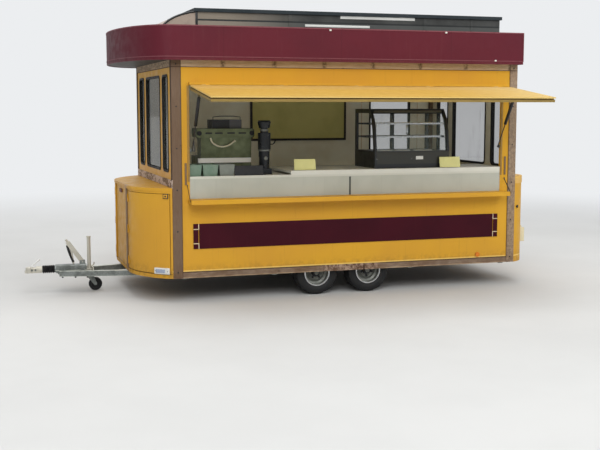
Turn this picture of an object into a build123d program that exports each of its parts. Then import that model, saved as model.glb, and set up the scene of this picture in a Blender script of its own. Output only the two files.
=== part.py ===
from build123d import *
import math
import os

# Driving dimensions, millimetres. Heights are above the ground, x runs back from the
# outer face of the front wall, y is across from the centre line, minus on the hatch side.
ball_height = 240
ball_ahead = 1324
body_length = 3790
body_width = 2100
sill_bottom = 250
sill_height = 65
sill_thick = 45
rail_bottom = 2330
rail_height = 70
front_rail_height = 74
front_rail_proud = 4
post_width = 100
rear_post_width = 90
post_depth = 60
wall_thick = 30
wall_inset = 8
floor_thick = 18
seat_gap = 0.3
move_gap = 5
knuckle_diameter = 10
knuckle_length = 40

# Running gear
axle_middle_share = 0.479
axle_spacing = 570
tyre_diameter = 450
tyre_width = 195
rim_diameter = 254
flange_diameter = 280
rim_width = 152
wheel_inset = 60
ladder_rail_y = 600
ladder_rail_width = 50
ladder_rail_height = 80
cross_member_inset = 130
cross_member_clearance = 470
cross_member_width = 50
axle_beam_size = 60
swing_arm_length = 140
swing_arm_thick = 30
stub_diameter = 40
drum_diameter = 200
drum_width = 55
wheel_box_clearance = 75
wheel_box_wall = 12

# Drawbar
drawbar_width = 40
drawbar_height = 60
drawbar_nose_x = -1020
drawbar_nose_y = 72
drawbar_tail_x = 1085
drawbar_tail_y = 560
overrun_front_x = -1052
overrun_rear_x = -735
overrun_width = 92
overrun_height = 85
overrun_sink = 30
overrun_foot_inset = 45
overrun_foot_length = 44
shaft_diameter = 50
shaft_seat = 28
bellows_front_x = -1190
bellows_diameter = 78
bellows_folds = 6
head_rear_x = -1195
head_tip_ahead = 46
socket_diameter = 50
socket_depth = 38
dome_diameter = 76
head_height = 62

# Parking jack
jockey_x = -705
jockey_tube_diameter = 38
jockey_inner_diameter = 29
jockey_tube_top = 577
jockey_tube_bottom = 262
jockey_inner_bottom = 172
jockey_wheel_diameter = 140
jockey_wheel_width = 45
jockey_trail = 62
jockey_stem_diameter = 14
jockey_crank_offset = 44
jockey_crank_diameter = 10
jockey_crank_drop = 110
jockey_clamp_wall = 9
jockey_clamp_height = 52
jockey_plate_half = 165
jockey_pin_diameter = 12

# Levers on the drawbar
handbrake_x = -775
handbrake_top_x = -925
handbrake_top = 526
handbrake_width = 30
handbrake_depth = 48
handbrake_wall = 6
handbrake_pin_rise = 22
handbrake_ear = 6
spring_foot_x = -866
spring_head = (-892, 452)
spring_diameter = 20
handle_offset = 26
handle_angle = 41
handle_diameter = 12
coupling_handle_length = 112

# Hatch side
hatch_front_x = 179
hatch_rear_inset = 185
hatch_bottom = 1040
hatch_top = 2155
upstand_height = 220
sign_front_x = 208
sign_rear_inset = 207
sign_bottom = 540
sign_top = 790
sign_thick = 8
sign_step = 58
marker_rear_inset = 441
marker_height = 350
marker_diameter = 50
front_marker_height = 1063
front_marker_size = (12, 150, 36)
rear_lamp_size = (45, 150, 140)
rear_lamp_bottom = 480
rear_lamp_inset = 90

# Awning, open as it stands
awning_front_x = 174
awning_rear_inset = 108
awning_axis_rise = 3
awning_reach = 905
awning_skin = 12
awning_groove = 12
awning_frame_depth = 26
awning_frame_width = 26
awning_frame_setback = 4
awning_groove_setback = 14
awning_ribs = 3
awning_slope = 7.5
awning_wall_gap = 8
awning_hinge_spots = 5
hinge_edge = 7
batten_height = 24
strut_anchor_reach = 262
strut_anchor_drop = 66
strut_front_gap = 34
strut_rear_gap = 20
strut_foot_height = 1520
strut_foot_inset = 30
strut_tube_diameter = 22
strut_rod_diameter = 10
strut_tube_length = 345
strut_tube_plug = 46
strut_rod_overlap = 20
strut_neck_diameter = 6
strut_eye_diameter = 20
strut_pin_diameter = 8
strut_eye_play = 0.6

# Serving shelf
shelf_front_x = 158
shelf_rear_inset = 148
shelf_reach = 165
shelf_thick = 45
shelf_hollow = 24
shelf_lip = 20
shelf_hinge_spots = 5
stay_width = 10
stay_thick = 4
stay_top_height = 1175

# Window openings in the front and rear walls
pane_bottom = 1300
pane_top = 2260
pane_radius = 50
centre_pane_width = 830
side_pane_width = 300
side_pane_y = 705
glass_thick = 6

# Entrance door, on the side away from the hatch
door_width = 750
door_rear_inset = 246
door_bottom = 345
door_top = 2290
door_window_width = 540
handle_height = 1220
door_hinge_spots = (480, 1290, 2100)
door_hinge_offset = 7

# Lockers
locker_depth = 346
locker_flat_half = 420
locker_bulge = 92
locker_wall = 18
locker_top = 1115
locker_lid_thick = 30
locker_lid_rise = 6
locker_lid_overhang = 12
locker_door_bottom = 290
locker_door_top = 1095
locker_door_rear = 20
locker_strip_width = 34
locker_hinge_offset = 6
locker_hinge_spots = (340, 660, 980)
rear_locker_depth = 200
rear_locker_flat_half = 780
rear_locker_bulge = 46

# Roof
fascia_lap = 5
fascia_height = 335
fascia_half_width = 1150
fascia_bow = 450
fascia_rear_overhang = 8
fascia_thick = 22
fascia_bead_proud = 3
fascia_beads = ((30, 38), (323, 335))
fascia_end_strip = 12
soffit_thick = 18
deck_drop = 65
deck_thick = 18
lantern_half_width = 720
lantern_rear_inset = 50
lantern_front_x = 330
lantern_toe_x = -50
lantern_rise = 212
lantern_wall = 16
lantern_slab = 35
lantern_overhang = 20

# Inside
worktop_low = 1255
worktop_high = 1300
worktop_step_x = 1228
worktop_thick = 28
counter_depth_front = 850
counter_depth_rear = 600
counter_board = 18
wheel_box_board_gap = 40
counter_shelf_height = 560
back_counter_front_x = 400
back_counter_door_gap = 100
back_counter_depth = 480
back_counter_top = 1230
menu_x = (1355, 2577)
menu_height = (1540, 2140)
menu_thick = 20
menu_frame_width = 26
machine_x = (389, 924)
machine_front_y = -620
machine_depth = 480
machine_block_depth = 190
machine_tray_bottom = 1330
machine_tray_rail = (1373, 1420)
machine_base_top = 1430
machine_head_bottom = 1631
machine_top = 1722
machine_bar_x = (338, 948)
machine_bar_proud = 28
machine_group_inset = 150
machine_group_drop = 45
machine_leg_diameter = 34
machine_handle_reach = 40
warmer_x = (520, 830)
warmer_size = (240, 92)
grinder_x = 1021
grinder_y = -770
grinder_base = (120, 150, 60)
grinder_steps = (  # height at the bottom, diameter at the bottom, diameter at the top
    (1314, 104, 112),
    (1500, 124, 124),
    (1512, 132, 132),
    (1680, 84, 76),
    (1729, 112, 139),
    (1790, 139, 120),
)
grinder_top = 1801
grinder_chute = (40, 66, 70)
box_x = (154, 322, 490)
box_size = (158, 230, 118)
box_y = -880
case_x = (2178, 3040)
case_y = (-950, -368)
case_top = 1925
case_base_height = 180
case_post = 45
case_side_thick = 24
case_top_rail = 52
case_middle_post_x = 2612
case_lean = ((0, 0), (30, 220), (68, 340), (150, 445))
case_shelf_heights = (1626, 1766)
case_shelf_edge = 16
case_glass_thick = 5

os.makedirs("parts", exist_ok=True)

half_width = body_width / 2
wall_face = half_width - wall_inset
wall_inner = wall_face - wall_thick
rail_top = rail_bottom + rail_height
floor_bottom = sill_bottom + sill_height
floor_top = floor_bottom + floor_thick
axle_height = tyre_diameter / 2
wheel_y = half_width - wheel_inset - tyre_width / 2
head_top = ball_height + head_height / 2 + 6
rail_level = floor_bottom - ladder_rail_height
overrun_base = rail_level - overrun_sink
shaft_height = overrun_base + overrun_height / 2
axle_middle_x = axle_middle_share * body_length
axle_x = (axle_middle_x - axle_spacing / 2, axle_middle_x + axle_spacing / 2)
wheel_box_front = axle_x[0] - tyre_diameter / 2 - wheel_box_clearance
wheel_box_rear = axle_x[1] + tyre_diameter / 2 + wheel_box_clearance
cross_member_x = (cross_member_inset, axle_x[0] - cross_member_clearance, axle_x[1] + cross_member_clearance,
                  body_length - cross_member_inset)
hatch_rear_x = body_length - hatch_rear_inset
sign_rear_x = body_length - sign_rear_inset
marker_x = body_length - marker_rear_inset
awning_rear_x = body_length - awning_rear_inset
awning_axis_height = hatch_top + awning_axis_rise
strut_x = (hatch_front_x + strut_front_gap, hatch_rear_x - strut_rear_gap)
shelf_rear_x = body_length - shelf_rear_inset
door_rear_x = body_length - door_rear_inset
door_front_x = door_rear_x - door_width
fascia_bottom = rail_top - fascia_lap
fascia_top = fascia_bottom + fascia_height
deck_height = fascia_top - deck_drop
lantern_top = deck_height + deck_thick + lantern_rise
lantern_rear_x = body_length - lantern_rear_inset
back_counter_x = (back_counter_front_x, door_front_x - back_counter_door_gap)


# Helpers
def box(x0, x1, y0, y1, z0, z1):
    return Pos((x0 + x1) / 2, (y0 + y1) / 2, (z0 + z1) / 2) * Box(abs(x1 - x0), abs(y1 - y0), abs(z1 - z0))


def rod(start, end, diameter):
    start, end = Vector(*start), Vector(*end)
    run = end - start
    plane = Plane(origin=start, z_dir=run)
    return extrude(plane * Circle(diameter / 2), run.length)


def bar(start, end, width, height):
    """A bar with a rectangular section between two points at one height."""
    start, end = Vector(*start), Vector(*end)
    run = end - start
    plane = Plane(origin=start, x_dir=Vector(-run.Y, run.X, 0), z_dir=run)
    return extrude(plane * Rectangle(width, height), run.length)


def slab(outline, bottom, top):
    return extrude(Pos(0, 0, bottom) * outline, top - bottom)


def mirrored(shape):
    return mirror(shape, about=Plane.XZ)


def knuckle_pair(start, direction, length, diameter):
    """Two hinge barrels in line: the first turns with the leaf, the second stays."""
    start, direction = Vector(*start), Vector(*direction)
    split = start + direction * length
    return rod(start, split, diameter), rod(split + direction * seat_gap, split + direction * (length + seat_gap), diameter)


def save(name, *shapes):
    moved = [Pos(ball_ahead, 0, -ball_height) * s for shape in shapes for s in shape.solids()]
    whole = moved[0] if len(moved) == 1 else Compound(children=moved)
    export_step(whole, "parts/" + name + ".step")


def body_outline(depth, flat_half, bulge, shrink=0):
    """Half plan of a locker: bowed sides and a flat end, from the wall plane outwards."""
    side = half_width - shrink
    flat = flat_half - shrink * 0.35
    end = depth - shrink
    arcs = SagittaArc((0, -side), (-end, -flat), bulge) + Line((-end, -flat), (-end, flat))
    arcs += SagittaArc((-end, flat), (0, side), bulge) + Line((0, side), (0, -side))
    return make_face(arcs)


# Chassis
def drawbar_y(x):
    """Distance of a drawbar rail's middle from the centre line."""
    share = (x - drawbar_nose_x) / (drawbar_tail_x - drawbar_nose_x)
    return drawbar_nose_y + (drawbar_tail_y - drawbar_nose_y) * share


def chassis():
    rail_top = floor_bottom
    rail_bottom_z = rail_top - ladder_rail_height
    whole = Part()
    for side in (-1, 1):
        y = side * ladder_rail_y
        whole += box(sill_thick, body_length - sill_thick, y - ladder_rail_width / 2, y + ladder_rail_width / 2,
                     rail_bottom_z, rail_top)
    reach = half_width - sill_thick - seat_gap
    for x in cross_member_x:
        whole += box(x - cross_member_width / 2, x + cross_member_width / 2, -reach, reach,
                     rail_bottom_z, rail_top)
    z = rail_bottom_z - drawbar_height / 2
    for side in (-1, 1):
        whole += bar((drawbar_nose_x, side * drawbar_nose_y, z), (drawbar_tail_x, side * drawbar_tail_y, z),
                     drawbar_width, drawbar_height)
    rear = overrun_rear_x - 8
    plate = make_face(Polyline((drawbar_nose_x, -drawbar_nose_y), (rear, -drawbar_y(rear)),
                               (rear, drawbar_y(rear)), (drawbar_nose_x, drawbar_nose_y),
                               (drawbar_nose_x, -drawbar_nose_y)))
    return whole + slab(plate, overrun_base - 8, overrun_base)


def axles():
    pieces = []
    for x in axle_x:
        beam_x = x - swing_arm_length
        beam_z = floor_bottom - ladder_rail_height - axle_beam_size / 2
        arm_y = ladder_rail_y + ladder_rail_width / 2 + 22
        whole = box(beam_x - axle_beam_size / 2, beam_x + axle_beam_size / 2, -arm_y, arm_y,
                    beam_z - axle_beam_size / 2, beam_z + axle_beam_size / 2)
        for side in (-1, 1):
            inner = side * arm_y
            outer = side * (arm_y + swing_arm_thick)
            arm = SlotCenterToCenter(swing_arm_length, 66)
            tilt = math.degrees(math.atan2(axle_height - beam_z, swing_arm_length))
            plane = Plane(origin=((beam_x + x) / 2, inner, (beam_z + axle_height) / 2),
                          x_dir=(1, 0, 0), z_dir=(0, side, 0))
            whole += extrude(plane * Rot(0, 0, -side * tilt) * arm, swing_arm_thick)
            whole += rod((x, outer, axle_height), (x, side * wheel_y, axle_height), stub_diameter)
        pieces.append(whole)
    return pieces


def tyre():
    r_out, r_in, half = tyre_diameter / 2, rim_diameter / 2, tyre_width / 2
    crown, shoulder = 4, 34
    bead = rim_width / 2 - seat_gap
    lip = flange_diameter / 2 + seat_gap
    profile = Polyline((-bead, r_in + seat_gap), (-bead, lip), (-half + 6, r_in + 14))
    profile += ThreePointArc((-half + 6, r_in + 14), (-half, (r_in + r_out) / 2 - 6), (-half + 5, r_out - shoulder))
    profile += ThreePointArc((-half + 5, r_out - shoulder), (-half + 13, r_out - 12), (-half + 34, r_out - crown))
    profile += ThreePointArc((-half + 34, r_out - crown), (0, r_out), (half - 34, r_out - crown))
    profile += ThreePointArc((half - 34, r_out - crown), (half - 13, r_out - 12), (half - 5, r_out - shoulder))
    profile += ThreePointArc((half - 5, r_out - shoulder), (half, (r_in + r_out) / 2 - 6), (half - 6, r_in + 14))
    profile += Polyline((half - 6, r_in + 14), (bead, lip), (bead, r_in + seat_gap), (-bead, r_in + seat_gap))
    return revolve(make_face(profile), Axis.X)


def rim():
    """Steel rim with its disc, hub and brake drum. Plus x is the outer side."""
    r_in, r_fl, half = rim_diameter / 2, flange_diameter / 2, rim_width / 2
    sheet = 5
    well = r_in - 26
    barrel = make_face(Polyline(
        (-half - sheet, r_fl), (-half, r_fl), (-half, r_in), (-half * 0.45, r_in),
        (-half * 0.3, well), (half * 0.3, well), (half * 0.45, r_in), (half, r_in),
        (half, r_fl), (half + sheet, r_fl), (half + sheet, r_in - sheet), (half * 0.45 - 3, r_in - sheet),
        (half * 0.3 - 3, well - sheet), (-half * 0.3 + 3, well - sheet),
        (-half * 0.45 + 3, r_in - sheet), (-half - sheet, r_in - sheet), (-half - sheet, r_fl)))
    disc = make_face(Polyline(
        (half * 0.3 - sheet, well - 1), (half * 0.3, well - 1), (half * 0.55, 74), (half * 0.35, 52),
        (half * 0.35, 0), (half * 0.35 - sheet - 2, 0), (half * 0.35 - sheet - 2, 50),
        (half * 0.55 - sheet - 1, 72), (half * 0.3 - sheet, well - 1)))
    whole = revolve(barrel, Axis.X) + revolve(disc, Axis.X)
    face_x = half * 0.35
    whole += Pos(face_x - 6, 0, 0) * Rot(0, 90, 0) * Cylinder(33, 40, align=(Align.CENTER, Align.CENTER, Align.MIN))
    for i in range(8):
        angle = 45 * i + 22.5
        whole -= Rot(angle, 0, 0) * Pos(half * 0.45, 0, 86) * Rot(0, 90, 0) * Cylinder(9, 60)
    drum = Rot(0, 90, 0) * Cylinder(drum_diameter / 2 - 6, drum_width, align=(Align.CENTER, Align.CENTER, Align.MAX))
    hollow = Rot(0, 90, 0) * Cylinder(stub_diameter / 2 + seat_gap, drum_width - 12,
                                      align=(Align.CENTER, Align.CENTER, Align.MAX))
    whole += Pos(face_x - 7, 0, 0) * (drum - Pos(-12, 0, 0) * hollow)
    return whole


# Drawbar fittings
def overrun():
    base, top = overrun_base, overrun_base + overrun_height
    body = box(overrun_front_x, overrun_rear_x, -overrun_width / 2, overrun_width / 2, base, top)
    body = fillet(body.edges().filter_by(Axis.X), 14)
    body += rod((overrun_front_x, 0, shaft_height), (overrun_front_x - 14, 0, shaft_height), bellows_diameter)
    body += rod((overrun_front_x, 0, shaft_height), (head_rear_x - shaft_seat, 0, shaft_height), shaft_diameter)
    for x in (drawbar_nose_x + overrun_foot_inset, overrun_rear_x - overrun_foot_inset):
        reach = drawbar_y(x) + drawbar_width / 2
        foot = box(x - overrun_foot_length / 2, x + overrun_foot_length / 2, -reach, reach, rail_level, rail_level + 8)
        body += foot
    for side in (-1, 1):
        y = side * (handbrake_width / 2 + 2 + handbrake_ear / 2)
        body += box(handbrake_x - 28, handbrake_x + 28, y - handbrake_ear / 2, y + handbrake_ear / 2, top - 10, top + 40)
    z_pin = top + handbrake_pin_rise
    return body - rod((handbrake_x, -overrun_width, z_pin), (handbrake_x, overrun_width, z_pin), 10 + 2 * seat_gap)


def bellows():
    length = overrun_front_x - 14 - bellows_front_x
    fold = length / bellows_folds
    r_out, r_in = bellows_diameter / 2 + 6, bellows_diameter / 2 - 5
    outer = [(0, r_in)]
    for i in range(bellows_folds):
        outer += [((i + 0.5) * fold, r_out), ((i + 1) * fold, r_in)]
    bore = shaft_diameter / 2 + seat_gap
    profile = make_face(Polyline(*outer, (length, bore), (0, bore), (0, r_in)))
    return Pos(bellows_front_x, 0, shaft_height) * revolve(profile, Axis.X)


def coupling_head():
    """Pressed ball coupling: a dome with the socket, and a channel back to the drawshaft."""
    ball_x = -ball_ahead
    bottom = ball_height - 24
    dome = Pos(ball_x, 0, bottom) * Cylinder(dome_diameter / 2, head_top - bottom,
                                             align=(Align.CENTER, Align.CENTER, Align.MIN))
    dome = fillet(dome.edges().group_by(Axis.Z)[-1], 12)
    dome += box(ball_x - head_tip_ahead, ball_x, -24, 24, bottom, ball_height + 4)
    channel = box(ball_x, head_rear_x - 20, -34, 34, bottom, head_top - 6)
    channel = fillet(channel.edges().filter_by(Axis.X).group_by(Axis.Z)[-1], 10)
    collar = rod((head_rear_x - 60, 0, shaft_height), (head_rear_x, 0, shaft_height), shaft_diameter + 22)
    whole = dome + channel + collar
    whole -= rod((head_rear_x - shaft_seat - seat_gap, 0, shaft_height), (head_rear_x + 1, 0, shaft_height),
                 shaft_diameter + 2 * seat_gap)
    whole -= Pos(ball_x, 0, bottom) * Cylinder(
        socket_diameter / 2 + seat_gap, socket_depth, align=(Align.CENTER, Align.CENTER, Align.MIN))
    return whole


def coupling_handle():
    x, z = -ball_ahead + handle_offset, head_top + seat_gap
    rise = coupling_handle_length * math.sin(math.radians(handle_angle))
    run = coupling_handle_length * math.cos(math.radians(handle_angle))
    pivot = Pos(x, 0, z) * Box(26, 24, 16, align=(Align.CENTER, Align.CENTER, Align.MIN))
    return pivot + rod((x, 0, z + 9), (x + run, 0, z + 9 + rise), handle_diameter)


def handbrake_lever():
    """Open channel with a round grip, its pin through the housing's ears, and the gas spring under it."""
    base = overrun_base + overrun_height
    z0 = base + handbrake_pin_rise
    half = handbrake_width / 2
    run = Vector(handbrake_top_x - handbrake_x, 0, handbrake_top - z0)
    plane = Plane(origin=(handbrake_x, 0, z0), x_dir=(0, 1, 0), z_dir=run)
    channel = extrude(plane * Rectangle(handbrake_width, handbrake_depth), run.length)
    hollow = Rectangle(handbrake_width - handbrake_wall, handbrake_depth)
    channel -= extrude(plane * Pos(0, handbrake_wall * (1 if plane.y_dir.X > 0 else -1)) * hollow, run.length - 30)
    grip = rod((handbrake_top_x, 0, handbrake_top),
               (handbrake_top_x + run.X * 0.12, 0, handbrake_top + run.Z * 0.12), 24)
    pin = rod((handbrake_x, -half - 10, z0), (handbrake_x, half + 10, z0), 10)
    boss = rod((handbrake_x, -half + 1, z0), (handbrake_x, half - 1, z0), 26)
    spring = rod((spring_foot_x, 0, base - 5), (spring_head[0], 0, spring_head[1]), spring_diameter)
    spring -= box(spring_foot_x - 40, spring_foot_x + 40, -40, 40, base - 40, base + seat_gap)
    return channel + grip + pin + boss + spring


def jockey_leg():
    x, r = jockey_x, jockey_tube_diameter / 2
    outer = rod((x, 0, jockey_tube_bottom), (x, 0, jockey_tube_top), jockey_tube_diameter)
    inner = rod((x, 0, jockey_inner_bottom), (x, 0, jockey_tube_bottom), jockey_inner_diameter)
    bore = rod((x, 0, jockey_inner_bottom - 1), (x, 0, jockey_inner_bottom + 50), jockey_stem_diameter + 2 * seat_gap)
    cap = rod((x, 0, jockey_tube_top - 6), (x, 0, jockey_tube_top + 6), jockey_tube_diameter + 8)
    y, top = jockey_crank_offset, jockey_tube_top
    crank = rod((x, 0, top - 18), (x, y + 3, top - 18), jockey_crank_diameter)
    crank += rod((x, y, top - 9), (x, y, top - jockey_crank_drop), jockey_crank_diameter + 3)
    middle = overrun_base + jockey_clamp_height / 2 + 8
    low, high = middle - jockey_clamp_height / 2, middle + jockey_clamp_height / 2
    clamp = rod((x, 0, low), (x, 0, high), 2 * (r + jockey_clamp_wall))
    lug = box(overrun_rear_x, x - r, -20, 20, low, high)
    plate = box(x + r + 4, x + r + 12, -jockey_plate_half, jockey_plate_half, rail_level, high)
    screw = rod((x, -r - 2, middle), (x, -r - 52, middle), 12)
    screw += rod((x - 28, -r - 44, middle), (x + 28, -r - 44, middle), 9)
    core = rod((x, 0, low - 1), (x, 0, high + 1), jockey_tube_diameter - 2)
    return outer + inner - bore + cap + crank + (clamp + lug + plate + screw - core)


def jockey_fork():
    crown_top = jockey_inner_bottom - 2
    crown_bottom = crown_top - 9
    half = jockey_wheel_width / 2 + 3
    z_pin = jockey_wheel_diameter / 2
    stem = rod((jockey_x, 0, crown_bottom), (jockey_x, 0, crown_top + 44), jockey_stem_diameter)
    crown = box(jockey_x - 24, jockey_x + 40, -half - 5, half + 5, crown_bottom, crown_top)
    whole = stem + crown
    for side in (-1, 1):
        cheek = make_face(Polyline(
            (jockey_x - 24, crown_top), (jockey_x + 40, crown_top), (jockey_x + jockey_trail + 14, z_pin + 6),
            (jockey_x + jockey_trail + 10, z_pin - 12), (jockey_x + jockey_trail - 12, z_pin - 12),
            (jockey_x - 24, crown_top - 20), (jockey_x - 24, crown_top)))
        plane = Plane(origin=(0, side * half, 0), x_dir=(1, 0, 0), z_dir=(0, -1, 0))
        whole += extrude(plane * cheek, -side * 5)
    whole += rod((jockey_x + jockey_trail, -half - 9, z_pin), (jockey_x + jockey_trail, half + 9, z_pin),
                 jockey_pin_diameter)
    return whole


def jockey_wheel():
    r, half = jockey_wheel_diameter / 2, jockey_wheel_width / 2
    profile = make_face(Polyline(
        (-half, jockey_pin_diameter / 2 + seat_gap), (-half, 20), (-half + 9, 24), (-half + 9, r - 26),
        (-half, r - 22), (-half, r - 10), (-half + 8, r), (half - 8, r), (half, r - 10), (half, r - 22),
        (half - 9, r - 26), (half - 9, 24), (half, 20), (half, jockey_pin_diameter / 2 + seat_gap),
        (-half, jockey_pin_diameter / 2 + seat_gap)))
    wheel = Rot(0, 0, 90) * revolve(profile, Axis.X)
    return Pos(jockey_x + jockey_trail, 0, r) * wheel


# Body
def floor_panel():
    reach = wall_inner
    whole = box(wall_inset + wall_thick, body_length - wall_inset - wall_thick, -reach, reach, floor_bottom, floor_top)
    x0, x1 = wheel_box_front, wheel_box_rear
    y0 = wheel_y - tyre_width / 2 - 30
    top = tyre_diameter + wheel_box_clearance
    w = wheel_box_wall
    for side in (-1, 1):
        whole -= box(x0, x1, side * y0, side * (reach + 1), floor_bottom - 1, floor_top + 1)
        whole += box(x0 - w, x1 + w, side * (y0 - w), side * reach, floor_bottom, top + w) \
            - box(x0, x1, side * y0, side * (reach + 1), floor_bottom - 1, top)
    return whole - posts()


def posts():
    whole = Part()
    for x0, x1 in ((0, post_width), (body_length - rear_post_width, body_length)):
        for side in (-1, 1):
            whole += box(x0, x1, side * (half_width - post_depth), side * half_width, sill_bottom,
                         rail_bottom + rail_height)
    return whole


def timber_frame():
    h, top = half_width, rail_bottom + rail_height
    whole = posts()
    for side in (-1, 1):
        y0, y1 = side * (h - sill_thick), side * (h - wall_inset / 2)
        whole += box(post_width, body_length - rear_post_width, y0, y1, sill_bottom, floor_bottom)
        whole += box(post_width, body_length - rear_post_width, y0, y1, rail_bottom, top)
    for x0, x1 in ((0, sill_thick), (body_length - sill_thick, body_length)):
        for z0, z1 in ((sill_bottom, floor_bottom), (rail_bottom, top)):
            whole += box(x0, x1, -(h - post_depth), h - post_depth, z0, z1)
    z = locker_top + locker_lid_thick + locker_lid_rise + 2
    reach = h - post_depth
    whole += box(-front_rail_proud, wall_inset, -reach, reach, z, z + front_rail_height)
    return whole + box(0, wall_inset, -reach - 1, reach + 1, z, z + front_rail_height)


def hatch_wall():
    x0, x1 = post_width, body_length - rear_post_width
    wall = box(x0, x1, -wall_inner, -wall_face, floor_bottom, rail_bottom)
    wall -= box(hatch_front_x, hatch_rear_x, -wall_inner + 5, -wall_face - 5, hatch_bottom, hatch_top)
    return wall + awning_batten() + shelf_hinge()


def far_wall():
    x0, x1 = post_width, body_length - rear_post_width
    wall = box(x0, x1, wall_inner, wall_face, floor_bottom, rail_bottom)
    wall -= box(door_front_x - move_gap, door_rear_x + move_gap, wall_inner - 5, wall_face + 5,
                door_bottom - move_gap, door_top + move_gap)
    return wall + door_hinge(True)


pane_table = (  # middle y, width
    (-side_pane_y, side_pane_width),
    (0, centre_pane_width),
    (side_pane_y, side_pane_width),
)


def pane_face(y, width, grow=0):
    plane = Plane(origin=(0, y, (pane_bottom + pane_top) / 2), x_dir=(0, 1, 0), z_dir=(1, 0, 0))
    return plane * RectangleRounded(width + 2 * grow, pane_top - pane_bottom + 2 * grow, pane_radius + grow)


def end_wall(x):
    h = half_width - post_depth
    wall = box(x, x + wall_thick, -h, h, floor_bottom, rail_bottom)
    for y, width in pane_table:
        wall -= Pos(x - 5, 0, 0) * extrude(pane_face(y, width), wall_thick + 10)
    return wall


def end_glass(x):
    inset = (wall_thick - glass_thick) / 2
    return [Pos(x + inset, 0, 0) * extrude(pane_face(y, width), glass_thick) for y, width in pane_table]


def locker(depth, flat_half, bulge):
    outer = body_outline(depth, flat_half, bulge)
    inner = body_outline(depth, flat_half, bulge, locker_wall)
    shell = slab(outer, sill_bottom, locker_top) - slab(inner, sill_bottom + locker_wall, locker_top + 1)
    lid = slab(body_outline(depth + locker_lid_overhang, flat_half, bulge), locker_top,
               locker_top + locker_lid_thick + locker_lid_rise)
    slope = Plane(origin=(0, 0, locker_top + locker_lid_thick + locker_lid_rise),
                  x_dir=(0, 1, 0), z_dir=(-locker_lid_rise, 0, depth))
    cutter = extrude(slope * Rectangle(3 * half_width, 3 * half_width), 200)
    return shell + (lid - cutter)


def locker_door_zone(gap):
    """The part of the near curved side that the door takes, less a gap all round."""
    hinge = locker_flat_half + locker_strip_width
    return box(-locker_depth - 196, -locker_door_rear - gap, -half_width - 50, -hinge - gap,
               locker_door_bottom + gap, locker_door_top - gap)


def bow_point(y, outward):
    """Point of the front locker's near bow at a distance y across, moved out along its normal."""
    chord = math.hypot(locker_depth, half_width - locker_flat_half)
    radius = (chord ** 2 / 4 + locker_bulge ** 2) / (2 * locker_bulge)
    out_x, out_y = -(half_width - locker_flat_half) / chord, -locker_depth / chord
    centre_x = -locker_depth / 2 - out_x * (radius - locker_bulge)
    centre_y = -(half_width + locker_flat_half) / 2 - out_y * (radius - locker_bulge)
    dy = (y - centre_y) / radius
    dx = -math.sqrt(1 - dy ** 2)
    return centre_x + dx * (radius + outward), centre_y + dy * (radius + outward)


def locker_hinge(fixed):
    """Barrels and leaves of one side of the near door's hinge."""
    x, y = bow_point(-locker_flat_half - locker_strip_width, locker_hinge_offset)
    whole = Part()
    side = 1 if fixed else -1
    for z in locker_hinge_spots:
        pair = knuckle_pair((x, y, z), (0, 0, 1), knuckle_length, knuckle_diameter)
        z0 = z + (knuckle_length + seat_gap if fixed else 0)
        whole += pair[1 if fixed else 0]
        whole += box(x - 2, x + locker_hinge_offset + 5, y + side * 1, y + side * 26, z0, z0 + knuckle_length) \
            - box(x - 3, x + 40, y - 5.6, y + 5.6, z0 - 1, z0 + knuckle_length + 1)
        whole += box(x - 2, x + 2, y, y + side * 8, z0, z0 + knuckle_length)
    return whole


def front_locker():
    whole = locker(locker_depth, locker_flat_half, locker_bulge)
    zone = locker_door_zone(0)
    ring = slab(body_outline(locker_depth, locker_flat_half, locker_bulge), sill_bottom, locker_top) \
        - slab(body_outline(locker_depth, locker_flat_half, locker_bulge, locker_wall), sill_bottom, locker_top)
    cut = ring & zone
    leaves = locker_hinge(True)
    return whole - cut - mirrored(cut) + leaves + mirrored(leaves)


def locker_door():
    ring = slab(body_outline(locker_depth, locker_flat_half, locker_bulge), sill_bottom, locker_top) \
        - slab(body_outline(locker_depth, locker_flat_half, locker_bulge, locker_wall), sill_bottom, locker_top)
    return (ring & locker_door_zone(move_gap)) + locker_hinge(False)


def fascia_outline(shrink):
    half = fascia_half_width - shrink
    rear = body_length + max(fascia_rear_overhang - shrink, 0)
    lines = Line((0, -half), (rear, -half)) + Line((rear, -half), (rear, half)) + Line((rear, half), (0, half))
    lines += EllipticalCenterArc((0, 0), fascia_bow - shrink, half, start_angle=90, arc_size=180)
    return make_face(lines)


def fascia():
    band = slab(fascia_outline(0), fascia_bottom, fascia_top)
    for low, high in fascia_beads:
        band += slab(fascia_outline(-fascia_bead_proud), fascia_bottom + low, fascia_bottom + high)
    rear = body_length + fascia_rear_overhang + fascia_bead_proud
    reach = fascia_half_width + fascia_bead_proud
    band += box(rear - fascia_end_strip, rear, -reach, reach, fascia_bottom + fascia_beads[0][0], fascia_top)
    return band - slab(fascia_outline(fascia_thick), fascia_bottom - 1, fascia_top + 1)


def soffit():
    return slab(fascia_outline(fascia_thick), rail_top, rail_top + soffit_thick)


def roof_deck():
    return slab(fascia_outline(fascia_thick), deck_height, deck_height + deck_thick)


def roof_lantern():
    z0 = deck_height + deck_thick
    top = lantern_top

    def profile(shrink):
        toe, front = lantern_toe_x + shrink * 1.5, lantern_front_x
        rear, high = lantern_rear_x - shrink, top - shrink
        lines = Line((toe, z0), (rear, z0)) + Line((rear, z0), (rear, high)) + Line((rear, high), (front, high))
        lines += ThreePointArc((front, high), (toe + (front - toe) * 0.36, z0 + (high - z0) * 0.66), (toe, z0))
        return make_face(Plane.XZ * lines)

    body = extrude(profile(0), lantern_half_width, both=True)
    hollow = extrude(profile(lantern_wall), lantern_half_width - lantern_wall, both=True)
    edge = lantern_half_width + lantern_overhang
    lid = box(lantern_front_x - lantern_overhang, lantern_rear_x + lantern_overhang, -edge, edge, top, top + lantern_slab)
    return body - hollow + lid


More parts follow.
